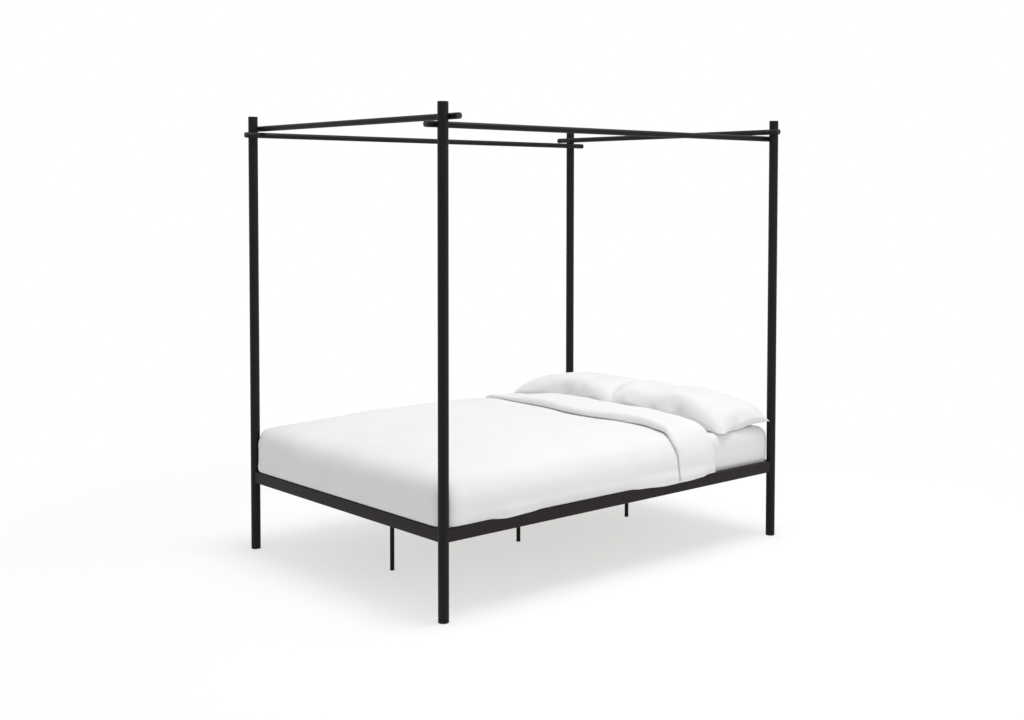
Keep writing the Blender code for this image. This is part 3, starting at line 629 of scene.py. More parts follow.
def planed_pine(name):
    """Pale knotty pine: long growth rings that differ from board to board, and fine pores."""
    material, tree, place = new_material(name)
    stretch = added_node(tree, "Mapping", {"Vector": place, "Scale": (1.1, 9.0, 14.0)}).outputs["Vector"]
    growth = {"Vector": stretch, "Scale": 1.9, "Distortion": 5.5, "Detail": 3.0, "Detail Scale": 0.8}
    rings = added_node(tree, "TexWave", growth, bands_direction="Y").outputs["Fac"]
    pores = soft_noise(tree, stretch, 60.0, 4.0)
    tone = two_tones(tree, rings, (0.50, 0.31, 0.15), (0.72, 0.53, 0.31), 0.05, 0.6)
    layers = {"Factor": 0.35, "A": tone, "B": pores}
    blend = added_node(tree, "Mix", layers, data_type="RGBA", blend_type="MULTIPLY")
    inputs = {
        "Roughness": 0.62,
        "Specular IOR Level": 0.3,
        "Base Color": blend.outputs["Result"],
        "Normal": relief(tree, pores, 0.25, 0.0006),
    }
    return painted(material, inputs)


def woven_tape(name):
    """Off-white webbing with a visible cross weave."""
    material, tree, place = new_material(name)
    squares = {"Vector": place, "Scale": 700.0}
    squares |= {"Color1": (0.62, 0.60, 0.54, 1), "Color2": (0.44, 0.42, 0.37, 1)}
    weave = added_node(tree, "TexChecker", squares)
    inputs = {
        "Roughness": 0.9,
        "Base Color": weave.outputs["Color"],
        "Normal": relief(tree, weave.outputs["Fac"], 0.4, 0.0005),
    }
    return painted(material, inputs)


slat_low, slat_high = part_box("slat_roll")
slat_span = slat_high.y - slat_low.y - SLAT_WIDTH
slat_rows = [-slat_span / 2 + slat_span * index / (SLAT_COUNT - 1) for index in range(SLAT_COUNT)]
bm = bmesh.new()
for y in slat_rows:
    low = (slat_low.x, y - SLAT_WIDTH / 2, slat_high.z - SLAT_THICKNESS)
    welded_box(bm, low, (slat_high.x, y + SLAT_WIDTH / 2, slat_high.z), 0.002, 3)
board_faces = set(bm.faces)
tape_lines = (TAPE_INSET - post_x, post_x - TAPE_INSET)
for x in tape_lines:
    low = (x - TAPE_WIDTH / 2, -slat_span / 2, slat_low.z)
    high = (x + TAPE_WIDTH / 2, slat_span / 2, slat_high.z - SLAT_THICKNESS - 0.00005)
    welded_box(bm, low, high, 0.0004, 1)
for face in bm.faces:
    face.material_index = 0 if face in board_faces else 1
mesh = shaded_mesh(bm, "pine_slats")
fitted_piece("pine_slats", mesh, planed_pine("planed_pine"), "pine", "slat_roll")
mesh.materials.append(woven_tape("woven_tape"))


# Staples: two wire staples hold each slat to each tape, driven up through the tape from below.
# Only their crowns show, as short dark lines across the tapes' undersides.
STAPLE_WIDTH = 0.011
STAPLE_WIRE = 0.0008
STAPLE_SPACING = 0.032
bm = bmesh.new()
for row in slat_rows:
    for x in tape_lines:
        for y in (row - STAPLE_SPACING / 2, row + STAPLE_SPACING / 2):
            if abs(y) <= slat_span / 2:
                low = (x - STAPLE_WIDTH / 2, y - STAPLE_WIRE / 2, slat_low.z - STAPLE_WIRE)
                high = (x + STAPLE_WIDTH / 2, y + STAPLE_WIRE / 2, slat_low.z)
                welded_box(bm, low, high, 0.0002, 1)
fitted_piece("tape_staples", shaded_mesh(bm, "tape_staples"), black_zinc, "black_zinc")


# Mattress: a foam mattress in woven ticking, its top and bottom panels joined to the side border by
# piped seams. It lies on the slats inside the base rails.
MATTRESS_CORNER = 0.035
MATTRESS_EDGE = 0.032
COVER_INSET = 0.003
COVER_QUADS = 0.03
ALL_SMOOTH = 180
PIPING_RADIUS = 0.0035
PIPING_INSET = 0.0045
PIPING_LEVEL = 0.020


def striped_ticking(name):
    """Warm white ticking with a fine diagonal rib and a soft tone drift."""
    material, tree, place = new_material(name)
    ribs = added_node(tree, "TexWave", {"Vector": place, "Scale": 95.0}, bands_direction="DIAGONAL")
    inputs = {
        "Roughness": 0.9,
        "Sheen Weight": 0.2,
        "Base Color": two_tones(tree, ribs.outputs["Fac"], (0.60, 0.59, 0.57), (0.72, 0.71, 0.69)),
        "Normal": relief(tree, ribs.outputs["Fac"], 0.3, 0.0005),
    }
    return painted(material, inputs)


def padded_block(bm, low, high, corner, edge, pitch):
    """Adds a block of even quads with corner-rounded sides and softer top and bottom edges."""
    centre, half = (low + high) / 2, (high - low) / 2
    bmesh.ops.create_cube(bm, size=2.0)
    cuts = max(2, round(2 * max(half) / pitch))
    bmesh.ops.subdivide_edges(bm, edges=bm.edges, cuts=cuts, use_grid_fill=True)
    radii = Vector((corner, corner, edge))
    for vertex in bm.verts:
        core, reach = Vector(), Vector()
        for axis in range(3):
            spot = vertex.co[axis] * half[axis]
            flat = half[axis] - radii[axis]
            core[axis] = max(-flat, min(flat, spot))
            reach[axis] = (spot - core[axis]) / radii[axis]
        turn = reach.normalized()
        vertex.co = centre + core + Vector([turn[axis] * radii[axis] for axis in range(3)])


def plan_outline(half_x, half_y, corner):
    """Points round a rounded rectangle, anticlockwise from its right side."""
    points = []
    for quarter, (sx, sy) in enumerate(((1, 1), (-1, 1), (-1, -1), (1, -1))):
        for step in range(11):
            angle = math.pi / 2 * (quarter + step / 10)
            x = sx * (half_x - corner) + corner * math.cos(angle)
            points.append((x, sy * (half_y - corner) + corner * math.sin(angle)))
    return points


def closed_cord(name, points, radius):
    """A round cord in a closed loop through points, as a mesh."""
    curve = bpy.data.curves.new(name, "CURVE")
    curve.dimensions = "3D"
    curve.bevel_depth = radius
    curve.bevel_resolution = 3
    spline = curve.splines.new("POLY")
    spline.points.add(len(points) - 1)
    for point, place in zip(spline.points, points):
        point.co = (*place, 1)
    spline.use_cyclic_u = True
    mesh = applied(added_object(name, curve))
    mesh.shade_smooth()
    return mesh


mattress_low, mattress_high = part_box("mattress")
bm = bmesh.new()
inset = Vector((COVER_INSET, COVER_INSET, 0))
low, high = mattress_low + inset, mattress_high - inset
padded_block(bm, low, high, MATTRESS_CORNER, MATTRESS_EDGE, COVER_QUADS)
for vertex in bm.verts:
    if vertex.co.z > mattress_high.z - 0.01:
        swell = noise.noise(Vector((vertex.co.x * 6, vertex.co.y * 6, 3)))
        vertex.co.z += 0.0015 * (swell - 1)
ticking = striped_ticking("mattress_ticking")
mesh = shaded_mesh(bm, "mattress_pad", ALL_SMOOTH)
mattress = fitted_piece("mattress_pad", mesh, ticking, "mattress_ticking", "mattress")
half_x, half_y = mattress_high.x - PIPING_INSET, mattress_high.y - PIPING_INSET
outline = plan_outline(half_x, half_y, MATTRESS_CORNER - PIPING_INSET)
for level, z in (("upper", mattress_high.z - PIPING_LEVEL), ("lower", mattress_low.z + PIPING_LEVEL)):
    name = "mattress_piping_" + level
    mesh = closed_cord(name, [(x, y, z) for x, y in outline], PIPING_RADIUS)
    fitted_piece(name, mesh, ticking, "mattress_ticking")


# Fitted sheet: one piece of white cotton with sewn corners and an elastic hem, stretched over the
# mattress. Only its head corners show, drawn into small gathers under the top edge.
SHEET_DROP = 0.170
SHEET_CORNER = 0.030
SHEET_SWELL = 0.010
SHEET_THICKNESS = 0.0008
GATHER_DEPTH = 0.0022
GATHER_REACH = 0.22


def woven_cotton(name, tone):
    """Plain-woven cotton: soft tone drift, slubs in the thread and a fine weave."""
    material, tree, place = new_material(name)
    soft = soft_noise(tree, place, 5.0, 3.0)
    slub = added_node(tree, "Mapping", {"Vector": place, "Scale": (240, 900, 900)}).outputs["Vector"]
    inputs = {
        "Roughness": 0.92,
        "Specular IOR Level": 0.15,
        "Sheen Weight": 0.2,
        "Sheen Roughness": 0.5,
        "Base Color": two_tones(tree, soft, [0.97 * c for c in tone], tone, 0.3, 0.7),
        "Normal": relief(tree, soft_noise(tree, slub, 1.0), 0.25, 0.0004),
    }
    return painted(material, inputs)


def drape(across, along, core, fall):
    """Where a point of a flat cloth lands on a block.

    across and along run from -1 to 1 over the block's core, and on to -2 and 2 at the hems. fall says how
    far out and down a point is from the core's edge, from its share of the drop and from how much it
    faces the bed's side rather than its end.
    """
    half_x, low_y, high_y = core
    x = half_x * max(-1.0, min(1.0, across))
    y = (low_y + high_y) / 2 + (high_y - low_y) / 2 * max(-1.0, min(1.0, along))
    over_x, over_y = max(0.0, abs(across) - 1), max(0.0, abs(along) - 1)
    share = max(over_x, over_y)
    if share == 0:
        return Vector((x, y, 0)), Vector((0, 0, 0)), 0.0
    turn = math.pi / 4 * (over_y / over_x if over_x >= over_y else 2 - over_x / over_y)
    away = Vector((math.copysign(math.cos(turn), across), math.copysign(math.sin(turn), along), 0))
    out, down = fall(share, math.cos(turn) ** 2)
    return Vector((x, y, 0)) + away * out - Vector((0, 0, down)), away, share


def soft_step(low, high, value):
    """0 below low, 1 above high and smooth between."""
    value = max(0.0, min(1.0, (value - low) / (high - low)))
    return value * value * (3 - 2 * value)


def rounded_fall(distance, flat, radius):
    """Out and down along a path that is flat, turns down over a round edge and then hangs."""
    arc = radius * math.pi / 2
    if distance <= flat:
        return distance, 0.0
    if distance <= flat + arc:
        angle = (distance - flat) / radius
        return flat + radius * math.sin(angle), radius * (1 - math.cos(angle))
    return flat + radius, radius + distance - flat - arc


def cloth_lines(core_steps, drop_steps, both):
    """Where a cloth's grid lines lie, closer together towards the hems."""
    core = [-1 + 2 * step / core_steps for step in range(core_steps + 1)]
    drop = [1 + 1 - (1 - step / drop_steps) ** 1.4 for step in range(1, drop_steps + 1)]
    return [-d for d in reversed(drop)] + core + (drop if both else [])


def cloth_grid(rows, columns):
    """A flat grid of quads, with the lists of its vertices row by row."""
    bm = bmesh.new()
    bmesh.ops.create_grid(bm, x_segments=len(columns) - 1, y_segments=len(rows) - 1, size=0.5)
    order = sorted(bm.verts, key=lambda v: (round(v.co.y, 5), round(v.co.x, 5)))
    width = len(columns)
    return bm, [order[row * width : (row + 1) * width] for row in range(len(rows))]


sheet_low, sheet_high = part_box("fitted_sheet")
sheet_core = (sheet_high.x - SHEET_CORNER, sheet_low.y + SHEET_CORNER, sheet_high.y - SHEET_CORNER)


def sheet_fall(share, side, along):
    """Round the mattress's edge and down its side, with a slight swell where the quilt leaves it bare."""
    reach = SHEET_CORNER * math.pi / 2
    out, down = rounded_fall(share * (reach + SHEET_DROP - SHEET_CORNER), 0, SHEET_CORNER)
    bare = soft_step(0.45, 0.80, along)
    out *= 1 + 1.4 * bare * side * (1 - side)
    swell = soft_step(0.0, 0.060, down) * (1 - 0.6 * soft_step(0.150, SHEET_DROP, down))
    return out + SHEET_SWELL * bare * swell, down


columns = cloth_lines(104, 18, True)
rows = cloth_lines(148, 18, True)
bm, lattice = cloth_grid(rows, columns)
for along, line in zip(rows, lattice):
    for across, vertex in zip(columns, line):
        spot, away, share = drape(across, along, sheet_core, lambda s, f: sheet_fall(s, f, along))
        vertex.co = spot + Vector((0, 0, sheet_high.z - 0.0002))
        if share > 0:
            from_corner = abs(abs(vertex.co.x) - sheet_core[0]) + abs(abs(vertex.co.y) - sheet_core[2])
            near = math.exp(-((from_corner / GATHER_REACH) ** 2))
            run = vertex.co.y if abs(away.x) > abs(away.y) else vertex.co.x
            place = Vector((run * 62, share * 1.5, 4 * math.copysign(1, vertex.co.x)))
            pleat = 0.5 + 0.5 * noise.noise(place)
            depth = GATHER_DEPTH * near * math.sin(math.pi * min(1, share * 1.15)) ** 0.5
            vertex.co += away * depth * pleat
bmesh.ops.recalc_face_normals(bm, faces=bm.faces)
if sum(f.normal.z for f in bm.faces) < 0:
    bmesh.ops.reverse_faces(bm, faces=bm.faces)
bmesh.ops.solidify(bm, geom=bm.faces, thickness=SHEET_THICKNESS)
mesh = shaded_mesh(bm, "cotton_sheet", ALL_SMOOTH)
white_cotton = woven_cotton("white_cotton", (0.835, 0.833, 0.837))
sheet = fitted_piece("cotton_sheet", mesh, white_cotton, "white_cotton", "fitted_sheet")


# Duvet: a thick quilt in white cotton. It lies over the mattress, rounds softly over the sides and the
# foot, and its sewn edge rests on the base rails. It is pressed in where it meets the foot posts.
QUILT_EDGE_TOP = 0.542
QUILT_SHOULDER = 0.130
QUILT_CORNER_REACH = 0.18
QUILT_CROWN = 0.048
QUILT_CREST = -0.120
QUILT_FALL = 0.650
QUILT_EDGE = 0.007
QUILT_FLARE = 0.006
QUILT_COVER = 0.007
LEFT_CORNER_LIFT = 0.010
LINING_CORNER = 0.032
LINING_EDGE = 0.030
LINING_GAP = 0.001
RAIL_GAP = 0.003
POST_GAP = 0.0022
BAND_STAND = 0.012
HEM_LAPS = (
    *((-0.98, -0.010), (-0.90, -0.007), (-0.83, -0.004), (-0.75, -0.006), (-0.64, 0.002)),
    *((-0.55, 0.000), (-0.45, -0.005), (-0.19, -0.007), (0.00, -0.005), (0.10, 0.001)),
    *((0.25, 0.009), (0.36, 0.007), (0.46, 0.002), (0.52, -0.003), (0.58, -0.010)),
)
quilt_low, quilt_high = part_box("duvet")
quilt_side = quilt_high.x - BAND_STAND
quilt_foot = quilt_low.y
fold_y = quilt_high.y
fold_start = fold_y - 0.050
outer_core = (quilt_side - QUILT_SHOULDER, quilt_foot + QUILT_SHOULDER, fold_start)
core_middle = (outer_core[1] + outer_core[2]) / 2
core_half = (outer_core[2] - outer_core[1]) / 2
sheet_top = sheet_high.z + LINING_GAP
lining_x, lining_y = sheet_high.x + LINING_GAP, sheet_low.y - LINING_GAP
inner_core = (lining_x - LINING_CORNER, lining_y + LINING_CORNER, fold_start)


def quilt_rise(x, y):
    """How far the quilt's filling swells above its edges, more fully on the left side."""
    across = min(1.0, abs(x) / quilt_side)
    reach = QUILT_CREST + post_y if y < QUILT_CREST else QUILT_FALL
    along = min(1.0, abs(y - QUILT_CREST) / reach)
    left = soft_step(0.0, 0.55, -x)
    corner = LEFT_CORNER_LIFT * soft_step(0.2, 0.6, -x) * soft_step(0.45, 0.90, -y)
    return (QUILT_CROWN + 0.004 * left) * (1 - across ** (3 + 7 * left)) * (1 - along**2) + corner


def hem_lap(y):
    """How far the quilt's sewn edge hangs over a side rail, or under 0 how far it falls short of that."""
    for (start, low), (end, high) in zip(HEM_LAPS, HEM_LAPS[1:]):
        if y <= end:
            break
    return low + (high - low) * soft_step(start, end, y)


def hem_height(side, y):
    """The quilt's sewn edge: on the foot rail's top, and in waves on and over the side rails."""
    return rail_high + 0.0075 + side * (-0.0055 - max(-0.005, hem_lap(y)))


def hem_flare(y):
    """The sewn edge stands out where it hangs over the rail, and draws in where it lies on its top."""
    return QUILT_FLARE * (2 * soft_step(-0.004, 0.004, hem_lap(y)) - 1)


def outer_fall(share, side, y, full):
    """The quilt's outer face: over a round shoulder, which is squarer the fuller it is, to the hem."""
    hang = QUILT_EDGE_TOP - QUILT_SHOULDER - hem_height(side, y)
    distance = share * (QUILT_SHOULDER * math.pi / 2 + hang)
    out, down = rounded_fall(distance, 0, QUILT_SHOULDER)
    if down < QUILT_SHOULDER:
        power = 0.86 - 0.31 * max(full, 0.5 * (1 - side)) - 0.68 * full * side * (1 - side)
        out = QUILT_SHOULDER * (out / QUILT_SHOULDER) ** power
        down = QUILT_SHOULDER * (1 - (1 - down / QUILT_SHOULDER) ** power)
    low = soft_step(QUILT_SHOULDER, QUILT_EDGE_TOP - rail_high, down)
    belly = 0.004 * math.sin(math.pi * low)
    out *= 1 + QUILT_CORNER_REACH * 4 * side * (1 - side)
    return out + belly + side * hem_flare(y) * low, down


def inner_fall(share, side, y):
    """The quilt's lining: round the mattress's edge, down to the rail, out over it and down again."""
    flat = LINING_CORNER - LINING_EDGE
    turn = flat + LINING_EDGE * math.pi / 2
    floor = sheet_top - rail_high - RAIL_GAP
    hang = floor - LINING_EDGE
    ledge = side * (quilt_side + hem_flare(y) - QUILT_EDGE - lining_x)
    ledge += (1 - side) * (lining_y - quilt_foot - QUILT_EDGE)
    lip = max(0.0, rail_high + RAIL_GAP - hem_height(side, y))
    distance = share * (turn + hang + ledge + lip)
    if distance <= turn + hang:
        return rounded_fall(distance, flat, LINING_EDGE)
    distance -= turn + hang
    if distance <= ledge:
        return LINING_CORNER + distance, floor
    return LINING_CORNER + ledge, floor + distance - ledge


def held_off(gap, least, soft):
    """A gap that softly stays over the least one."""
    return gap + soft * math.log(1 + math.exp((least - gap) / soft))


def clear_of_posts(spot):
    """Moves a point of the quilt out of the foot posts, with a soft dent round them."""
    for sign in (-1, 1):
        axis = Vector((sign * post_x, -post_y, spot.z))
        away = spot - axis
        if away.length < 0.06:
            spot = axis + away.normalized() * held_off(away.length, POST_RADIUS + POST_GAP, 0.0028)
    return spot


def clear_of_mattress(spot):
    """Moves a point of the quilt's outer face out to where filling still covers the mattress's edge."""
    x = max(-sheet_core[0], min(sheet_core[0], spot.x))
    near = Vector((x, max(sheet_core[1], spot.y), min(sheet_high.z - SHEET_CORNER, spot.z)))
    away = spot - near
    gap = away.length - SHEET_CORNER
    if gap > 0.04 or away.length == 0:
        return spot
    return near + away.normalized() * (SHEET_CORNER + held_off(gap, QUILT_COVER, 0.0030))


def quilt_point(across, along, lining=0.0):
    """A point of the quilt from its outer face, at 0, to its lining, at 1, and the way it faces."""
    near_y = core_middle + core_half * along
    full = soft_step(0.1, 0.9, -across)
    outer, away, share = drape(across, along, outer_core, lambda s, f: outer_fall(s, f, near_y, full))
    height = 1 - min(1.0, -outer.z / (QUILT_EDGE_TOP - rail_high))
    outer.z += QUILT_EDGE_TOP + quilt_rise(outer.x, outer.y) * height
    tilt = min(1.0, share * 1.85) * math.pi / 2
    facing = (away * math.sin(tilt) + Vector((0, 0, math.cos(tilt)))).normalized()
    if lining == 0:
        return outer, facing, share
    inner = drape(across, along, inner_core, lambda s, f: inner_fall(s, f, near_y))[0]
    inner.z += sheet_top
    return outer.lerp(inner, lining), facing, share


def filling(spot, facing, share):
    """Soft lumps of the filling, and shallow folds down the sides."""
    lumps = 0.0050 * noise.noise(spot * 3.1) + 0.0022 * noise.noise(spot * 8.0)
    run = spot.y if abs(facing.x) > abs(facing.y) else spot.x
    folds = 0.0030 * noise.noise(Vector((run * 9, spot.z * 2.5, 7))) * soft_step(0.1, 0.6, share)
    beside = math.hypot(abs(spot.x) - post_x, spot.y + post_y)
    gather = noise.noise(Vector((spot.x * 8, spot.y * 8, spot.z * 34)))
    folds += 0.0050 * gather * math.exp(-((beside / 0.055) ** 2)) * soft_step(0.25, 0.60, share)
    return (lumps + folds) * (1 - soft_step(0.86, 1.0, share))


columns = cloth_lines(116, 26, True)
rows = cloth_lines(128, 26, False)
bm, lattice = cloth_grid(rows, columns)
twin = bmesh.ops.duplicate(bm, geom=bm.verts[:] + bm.edges[:] + bm.faces[:])
partner = {v: twin["vert_map"][v] for line in lattice for v in line}
rim = [e for e in bm.edges if e.is_boundary]
for along, line in zip(rows, lattice):
    for across, vertex in zip(columns, line):
        spot, facing, share = quilt_point(across, along)
        spot = clear_of_mattress(spot + facing * filling(spot, facing, share))
        vertex.co = clear_of_posts(spot)
        partner[vertex].co = clear_of_posts(quilt_point(across, along, 1.0)[0])
bridge = bmesh.ops.bridge_loops(bm, edges=rim)
spans = [e for f in bridge["faces"] for e in f.edges if e not in set(rim)]
halves = bmesh.ops.subdivide_edges(bm, edges=list(set(spans)), cuts=1)
for vertex in halves["geom_inner"]:
    if isinstance(vertex, bmesh.types.BMVert) and vertex.co.z < rail_high + 0.02:
        vertex.co.z -= 0.0025
mesh = shaded_mesh(bm, "quilt", ALL_SMOOTH)
quilt = fitted_piece("quilt", mesh, white_cotton, "white_cotton", "duvet")


# Turn-down: the quilt's head end, folded back over itself as a thick band that hangs down at both
# sides. Its front edge is a soft roll, and its back edge the round fold.
BAND_WIDTH = 0.233
BAND_THICK = 0.032
BAND_THIN = 0.012
BAND_CROWN = 0.034
BAND_GAP = 0.0008
FOLD_DEPTH = 0.048
band_front = fold_y - BAND_WIDTH


def band_drift(x):
    """How far the rolled front edge wanders towards the head from a straight line."""
    dip = -0.055 * math.exp(-(((x - 0.08) / 0.17) ** 2))
    rise = 0.026 * math.exp(-(((x - 0.43) / 0.12) ** 2))
    right_end = -0.022 * math.exp(-(((x - 0.68) / 0.10) ** 2))
    return dip + rise + right_end + 0.022 * soft_step(0.35, 0.68, -x)


def band_swell(x, y):
    """How far the folded band stands above the quilt, from its crown along the middle."""
    across = min(1.0, abs(x) / quilt_side)
    return max(0.0, BAND_CROWN * (1 - across**3) - quilt_rise(x, y))


def band_section(thick, body):
    """The band's outline at one place: pairs of distance from the front edge and height over the quilt.

    Heights below zero are shares of the way down to the lining.
    """
    nose = thick / 2
    flat = BAND_WIDTH - FOLD_DEPTH
    outline = []
    for step in range(9):
        angle = -math.pi / 2 - math.pi * step / 8
        outline.append((nose + nose * 1.15 * math.cos(angle), nose + BAND_GAP + nose * math.sin(angle)))
    for step in range(1, 14):
        share = step / 14
        hollow = 0.003 * math.sin(math.pi * min(1, share * 2.2)) * thick / BAND_THICK
        outline.append((nose + (flat - nose) * share, thick + BAND_GAP - hollow))
    middle, reach = (thick - body) / 2, (thick + body) / 2
    for step in range(13):
        angle = math.pi / 2 - math.pi * step / 12
        height = middle + reach * math.sin(angle)
        outline.append((flat + FOLD_DEPTH * math.cos(angle), height if height >= 0 else height / body))
    outline += [(flat + 0.0006, -2 / 3), (flat + 0.0006, -1 / 3), (flat + 0.0006, BAND_GAP)]
    for step in range(1, 12):
        outline.append((flat - (flat - nose) * step / 12, BAND_GAP))
    return outline


columns = cloth_lines(110, 30, True)
count = len(band_section(BAND_THICK, 0.04))
bm, lattice = cloth_grid(range(count + 1), columns)
for column, across in enumerate(columns):
    share = max(0.0, abs(across) - 1)
    thick = BAND_THIN + (BAND_THICK - BAND_THIN) * (1 - soft_step(0.05, 0.75, share))
    thick *= 1 - 0.45 * soft_step(0.93, 1.0, share)
    thick *= 1 - 0.35 * soft_step(0.55, 0.95, -across)
    outer = quilt_point(across, 0.95)[0]
    body = (outer - quilt_point(across, 0.95, 1.0)[0]).length
    drift = band_drift(outer.x) + 0.006 * noise.noise(Vector((across * 4.1, 5.0, share * 2)))
    section = band_section(thick, body)
    for row, (run, height) in enumerate(section + section[:1]):
        y = band_front + drift * (1 - run / BAND_WIDTH) + run
        along = (y - core_middle) / core_half
        outer, facing, _ = quilt_point(across, min(1.0, along), max(0.0, -height))
        outer.y = y
        spot = outer + facing * max(0.0, height)
        if height > 0.004:
            spot.z += band_swell(spot.x, y) * min(1.0, height / BAND_THICK)
            pucker = (1 - abs(noise.noise(Vector((across * 13, y * 3, share * 6))))) ** 6
            front = math.exp(-run / 0.05)
            spot -= facing * 0.0035 * pucker * front * (0.35 + soft_step(0.0, 0.25, share))
            spot += facing * 0.0030 * noise.noise(spot * 9.0) * (1 - soft_step(0.85, 1.0, share))
        lattice[row][column].co = spot
bmesh.ops.remove_doubles(bm, verts=lattice[0] + lattice[-1], dist=MERGE_DISTANCE)
bmesh.ops.holes_fill(bm, edges=[e for e in bm.edges if e.is_boundary], sides=0)
mesh = shaded_mesh(bm, "turn_down", ALL_SMOOTH)
band = fitted_piece("turn_down", mesh, white_cotton, "white_cotton", "duvet")


# Pillows: two feather-filled pillows in white cotton cases, each sewn from two flat panels and stuffed,
# so that the seams pull in between the corners. They lie side by side on the sheet.
PANEL_LENGTH = 0.745
PANEL_WIDTH = 0.415
PILLOW_THICKNESS = 0.200
PILLOW_LIFT = 0.060
PANEL_SWELL = 0.04
SMOOTHINGS = 8
CORNER_DROOP = 0.036
CORNER_EARS = 0.016
FRONT_TUCK = 0.050
END_SAG = 0.052
BACK_CORNER_FILL = 0.030
MIDDLE_LIFT = 0.054


def sewn_panels(name, seed):
    """Two flat panels sewn together round their edges, with a little filling."""
    bm = bmesh.new()
    bmesh.ops.create_grid(bm, x_segments=74, y_segments=42, size=1.0)
    for vertex in bm.verts:
        u, v = vertex.co.xy
        lump = 1 + 0.25 * noise.noise(Vector((u * 2, v * 2, seed)))
        vertex.co = Vector((u * PANEL_LENGTH / 2, v * PANEL_WIDTH / 2, 0))
        vertex.co.z = PANEL_SWELL * lump * math.sqrt(max(0.0, (1 - u * u) * (1 - v * v)))
    under = bmesh.ops.duplicate(bm, geom=bm.verts[:] + bm.edges[:] + bm.faces[:])
    for vertex in new_verts(under):
        vertex.co.z *= -1
    bmesh.ops.remove_doubles(bm, verts=bm.verts, dist=MERGE_DISTANCE)
    return shaded_mesh(bm, name, ALL_SMOOTH)


def blown_up(mesh, thickness):
    """The panels after their filling has swelled them, as a finer mesh."""
    item = added_object("stuffing", mesh)
    seam = [abs(v.co.z) < MERGE_DISTANCE for v in mesh.vertices]
    cloth = item.modifiers.new("cloth", "CLOTH")
    cloth.settings.quality = 6
    for kind, stiffness in (("tension", 15), ("compression", 15), ("shear", 5), ("bending", 0.5)):
        setattr(cloth.settings, kind + "_stiffness", stiffness)
    cloth.settings.use_pressure = True
    cloth.settings.uniform_pressure_force = 1.5
    cloth.settings.effector_weights.gravity = 0
    cloth.collision_settings.use_collision = False
    cloth.point_cache.frame_start = 1
    cloth.point_cache.frame_end = 60
    for step in range(1, 61):
        bpy.context.scene.frame_set(step)
        view = bpy.context.evaluated_depsgraph_get()
        heights = [v.co.z for v in item.evaluated_get(view).data.vertices]
        if max(heights) - min(heights) > thickness:
            break
    swelled = applied(item)
    item = added_object("stuffing", swelled)
    bm = bmesh.new()
    bm.from_mesh(swelled)
    inside = [v for v in bm.verts if not seam[v.index]]
    every_axis = {"use_axis_x": True, "use_axis_y": True, "use_axis_z": True}
    for _ in range(SMOOTHINGS):
        bmesh.ops.smooth_vert(bm, verts=inside, factor=0.5, **every_axis)
    bm.to_mesh(swelled)
    bm.free()
    subdivision = item.modifiers.new("subdivision", "SUBSURF")
    subdivision.levels = 1
    subdivision.render_levels = 1
    result = applied(item)
    bpy.context.scene.frame_set(1)
    return result


for side, sign in (("left", -1), ("right", 1)):
    low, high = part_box("pillow_" + side)
    mesh = blown_up(sewn_panels("case_" + side, 5.0 + 3 * sign), PILLOW_THICKNESS)
    reach = [max(abs(v.co[axis]) for v in mesh.vertices) for axis in range(3)]
    centre, half = (low + high) / 2, (high - low) / 2
    for vertex in mesh.vertices:
        u, v, w = (vertex.co[axis] / reach[axis] for axis in range(3))
        spot = Vector((u * half[0], v * half[1], w * PILLOW_THICKNESS / 2 + PILLOW_LIFT))
        tip = (abs(u) * abs(v)) ** 3
        back = soft_step(-0.4, 0.8, v) if sign > 0 and u > 0 else 1.0
        spot.z -= CORNER_DROOP * tip
        spot.z -= END_SAG * abs(u) ** 5 * (1 - back)
        spot.x += math.copysign(CORNER_EARS, u) * min(1.0, 1.6 * tip) * back
        spot.y += FRONT_TUCK * tip * (1 - back)
        inner = soft_step(0.25, 1.0, -u * sign)
        corner = math.exp(-(((u * sign - 0.84) / 0.16) ** 2) - ((v - 0.80) / 0.30) ** 2)
        spot.z += BACK_CORNER_FILL * corner * max(0.0, sign * w)
        spot.z += MIDDLE_LIFT * inner * max(0.0, min(1.0, spot.z / PILLOW_LIFT)) * (1 - 0.5 * tip)
        spot += Vector((centre.x, centre.y, sheet_top))
        spot.z += 0.004 * noise.noise(spot * 6)
        spot.z = max(spot.z, sheet_top + 0.0005)
        vertex.co = spot
    mesh.shade_smooth()
    pillow = fitted_piece("pillow_case_" + side, mesh, white_cotton, "white_cotton", "pillow_" + side)


# Floor: a plain white studio floor without an edge in sight. It keeps the bed's soft shadow, and
# turns to pure white a few metres away.
def shown_directly(tree):
    """1 for what the eye, a reflection or a clear material sees, and 0 for scattered light."""
    path = added_node(tree, "LightPath", {})
    seen = path.outputs["Is Camera Ray"]
    for kind in ("Is Glossy Ray", "Is Transmission Ray"):
        seen = added_node(tree, "Math", {0: seen, 1: path.outputs[kind]}, operation="MAXIMUM").outputs[0]
    return seen


def blended(tree, share, first, second):
    """Two shaders blended by a share of the second."""
    inputs = {0: share, 1: first.outputs[0], 2: second.outputs[0]}
    return added_node(tree, "MixShader", inputs)


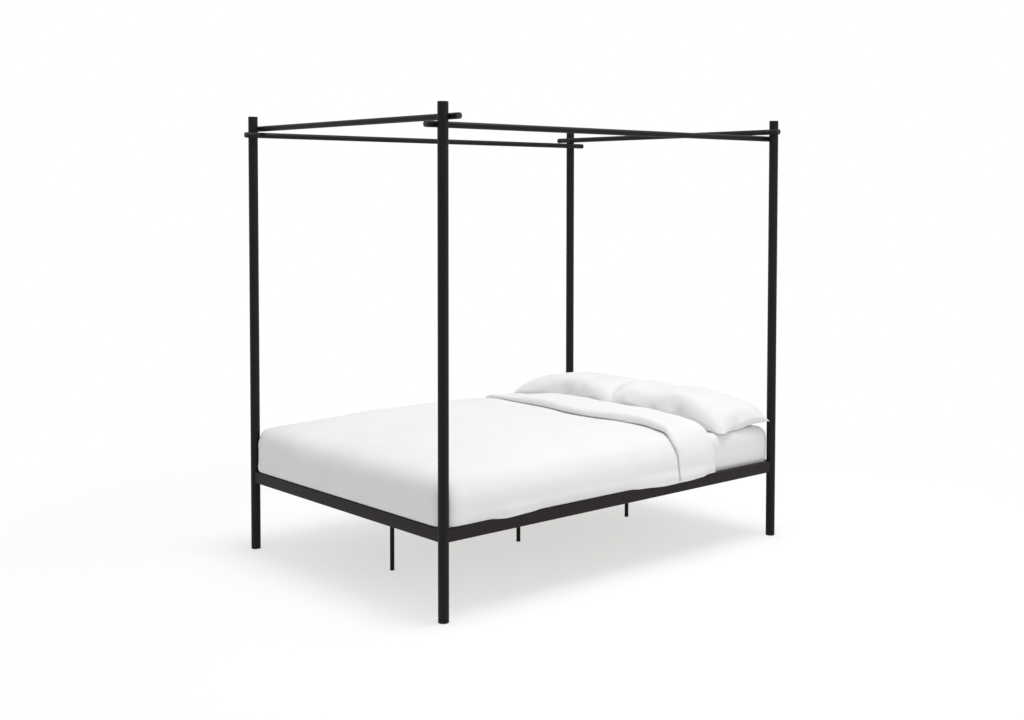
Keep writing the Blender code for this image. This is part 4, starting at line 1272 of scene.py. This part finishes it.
def white_floor(name):
    """Matt white that shows the shadows lightly, and fades to pure white away from the bed."""
    material, tree, place = new_material(name)
    tree.nodes.remove(tree.nodes["Principled BSDF"])
    paint = added_node(tree, "BsdfDiffuse", {"Color": (0.85, 0.85, 0.85, 1)})
    thin_paint = added_node(tree, "BsdfDiffuse", {"Color": (0.43, 0.43, 0.43, 1)})
    lift = added_node(tree, "Emission", {"Strength": 0.585})
    shadowed = added_node(tree, "AddShader", {0: thin_paint.outputs[0], 1: lift.outputs[0]})
    reach = added_node(tree, "VectorMath", {0: place}, operation="LENGTH").outputs["Value"]
    ring = {"Value": reach, "From Min": 1.5, "From Max": 3.4}
    away = added_node(tree, "MapRange", ring, interpolation_type="SMOOTHSTEP").outputs["Result"]
    fade = blended(tree, away, shadowed, added_node(tree, "Emission", {}))
    both = blended(tree, shown_directly(tree), paint, fade)
    wired(tree, tree.nodes["Material Output"], {"Surface": both.outputs[0]})
    return material


bm = bmesh.new()
bmesh.ops.create_grid(bm, x_segments=1, y_segments=1, size=40)
mesh = plain_mesh(bm, "studio_floor")
mesh.materials.append(white_floor("white_floor"))
floor = added_object("studio_floor", mesh)
floor.location.z = -0.0005
floor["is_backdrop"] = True


# Light: an even white surround, a large soft box overhead, and a tall one low on the right, which
# draws a soft line down the posts and leaves the foot end a shade darker.
world = bpy.data.worlds.new("studio")
bpy.context.scene.world = world
world.use_nodes = True
tree = world.node_tree
surround = wired(tree, tree.nodes["Background"], {"Color": (1, 1, 1, 1), "Strength": 0.62})
backdrop = added_node(tree, "Background", {"Color": (1, 1, 1, 1)})
both = blended(tree, shown_directly(tree), surround, backdrop)
wired(tree, tree.nodes["World Output"], {"Surface": both.outputs[0]})
for name, place, target, size, power in (
    ("overhead_soft_box", (1.1, 0.3, 5.2), (0, 0, 0.4), (3.0, 3.0), 142),
    ("right_soft_box", (3.9, 0.4, 1.5), (0, 0, 0.9), (1.0, 2.4), 11),
):
    light = bpy.data.lights.new(name, "AREA")
    light.shape = "RECTANGLE"
    light.size, light.size_y = size
    light.energy = power
    lamp = added_object(name, light)
    lamp.location = place
    lamp.rotation_mode = "QUATERNION"
    lamp.rotation_quaternion = (Vector(target) - Vector(place)).to_track_quat("-Z", "Y")


# Camera: at a standing adult's eye height, off the bed's foot end to the right. It hardly tilts, and
# its frame is shifted down instead, which keeps the posts upright.
camera = bpy.data.cameras.new("camera")
camera.sensor_width = 36
camera.lens = 46.6453125
camera.shift_x = -0.03076172
camera.shift_y = -0.10742188
camera.clip_end = 100
view = added_object("camera", camera)
bpy.context.scene.camera = view
yaw, pitch, roll = math.radians(48.194), math.radians(2.463), math.radians(0.111)
turn = Matrix.Rotation(yaw, 4, "Z") @ Matrix.Rotation(math.pi / 2 - pitch, 4, "X")
turn = turn @ Matrix.Rotation(roll, 4, "Z")
view.matrix_world = Matrix.Translation((4.6335, -3.9904, 1.6205)) @ turn
bpy.context.scene.view_settings.view_transform = "Standard"


visual_low, visual_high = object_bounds()
size = {
    "cad": [list(frame_low), list(frame_high)],
    "visual": [list(visual_low), list(visual_high)],
}
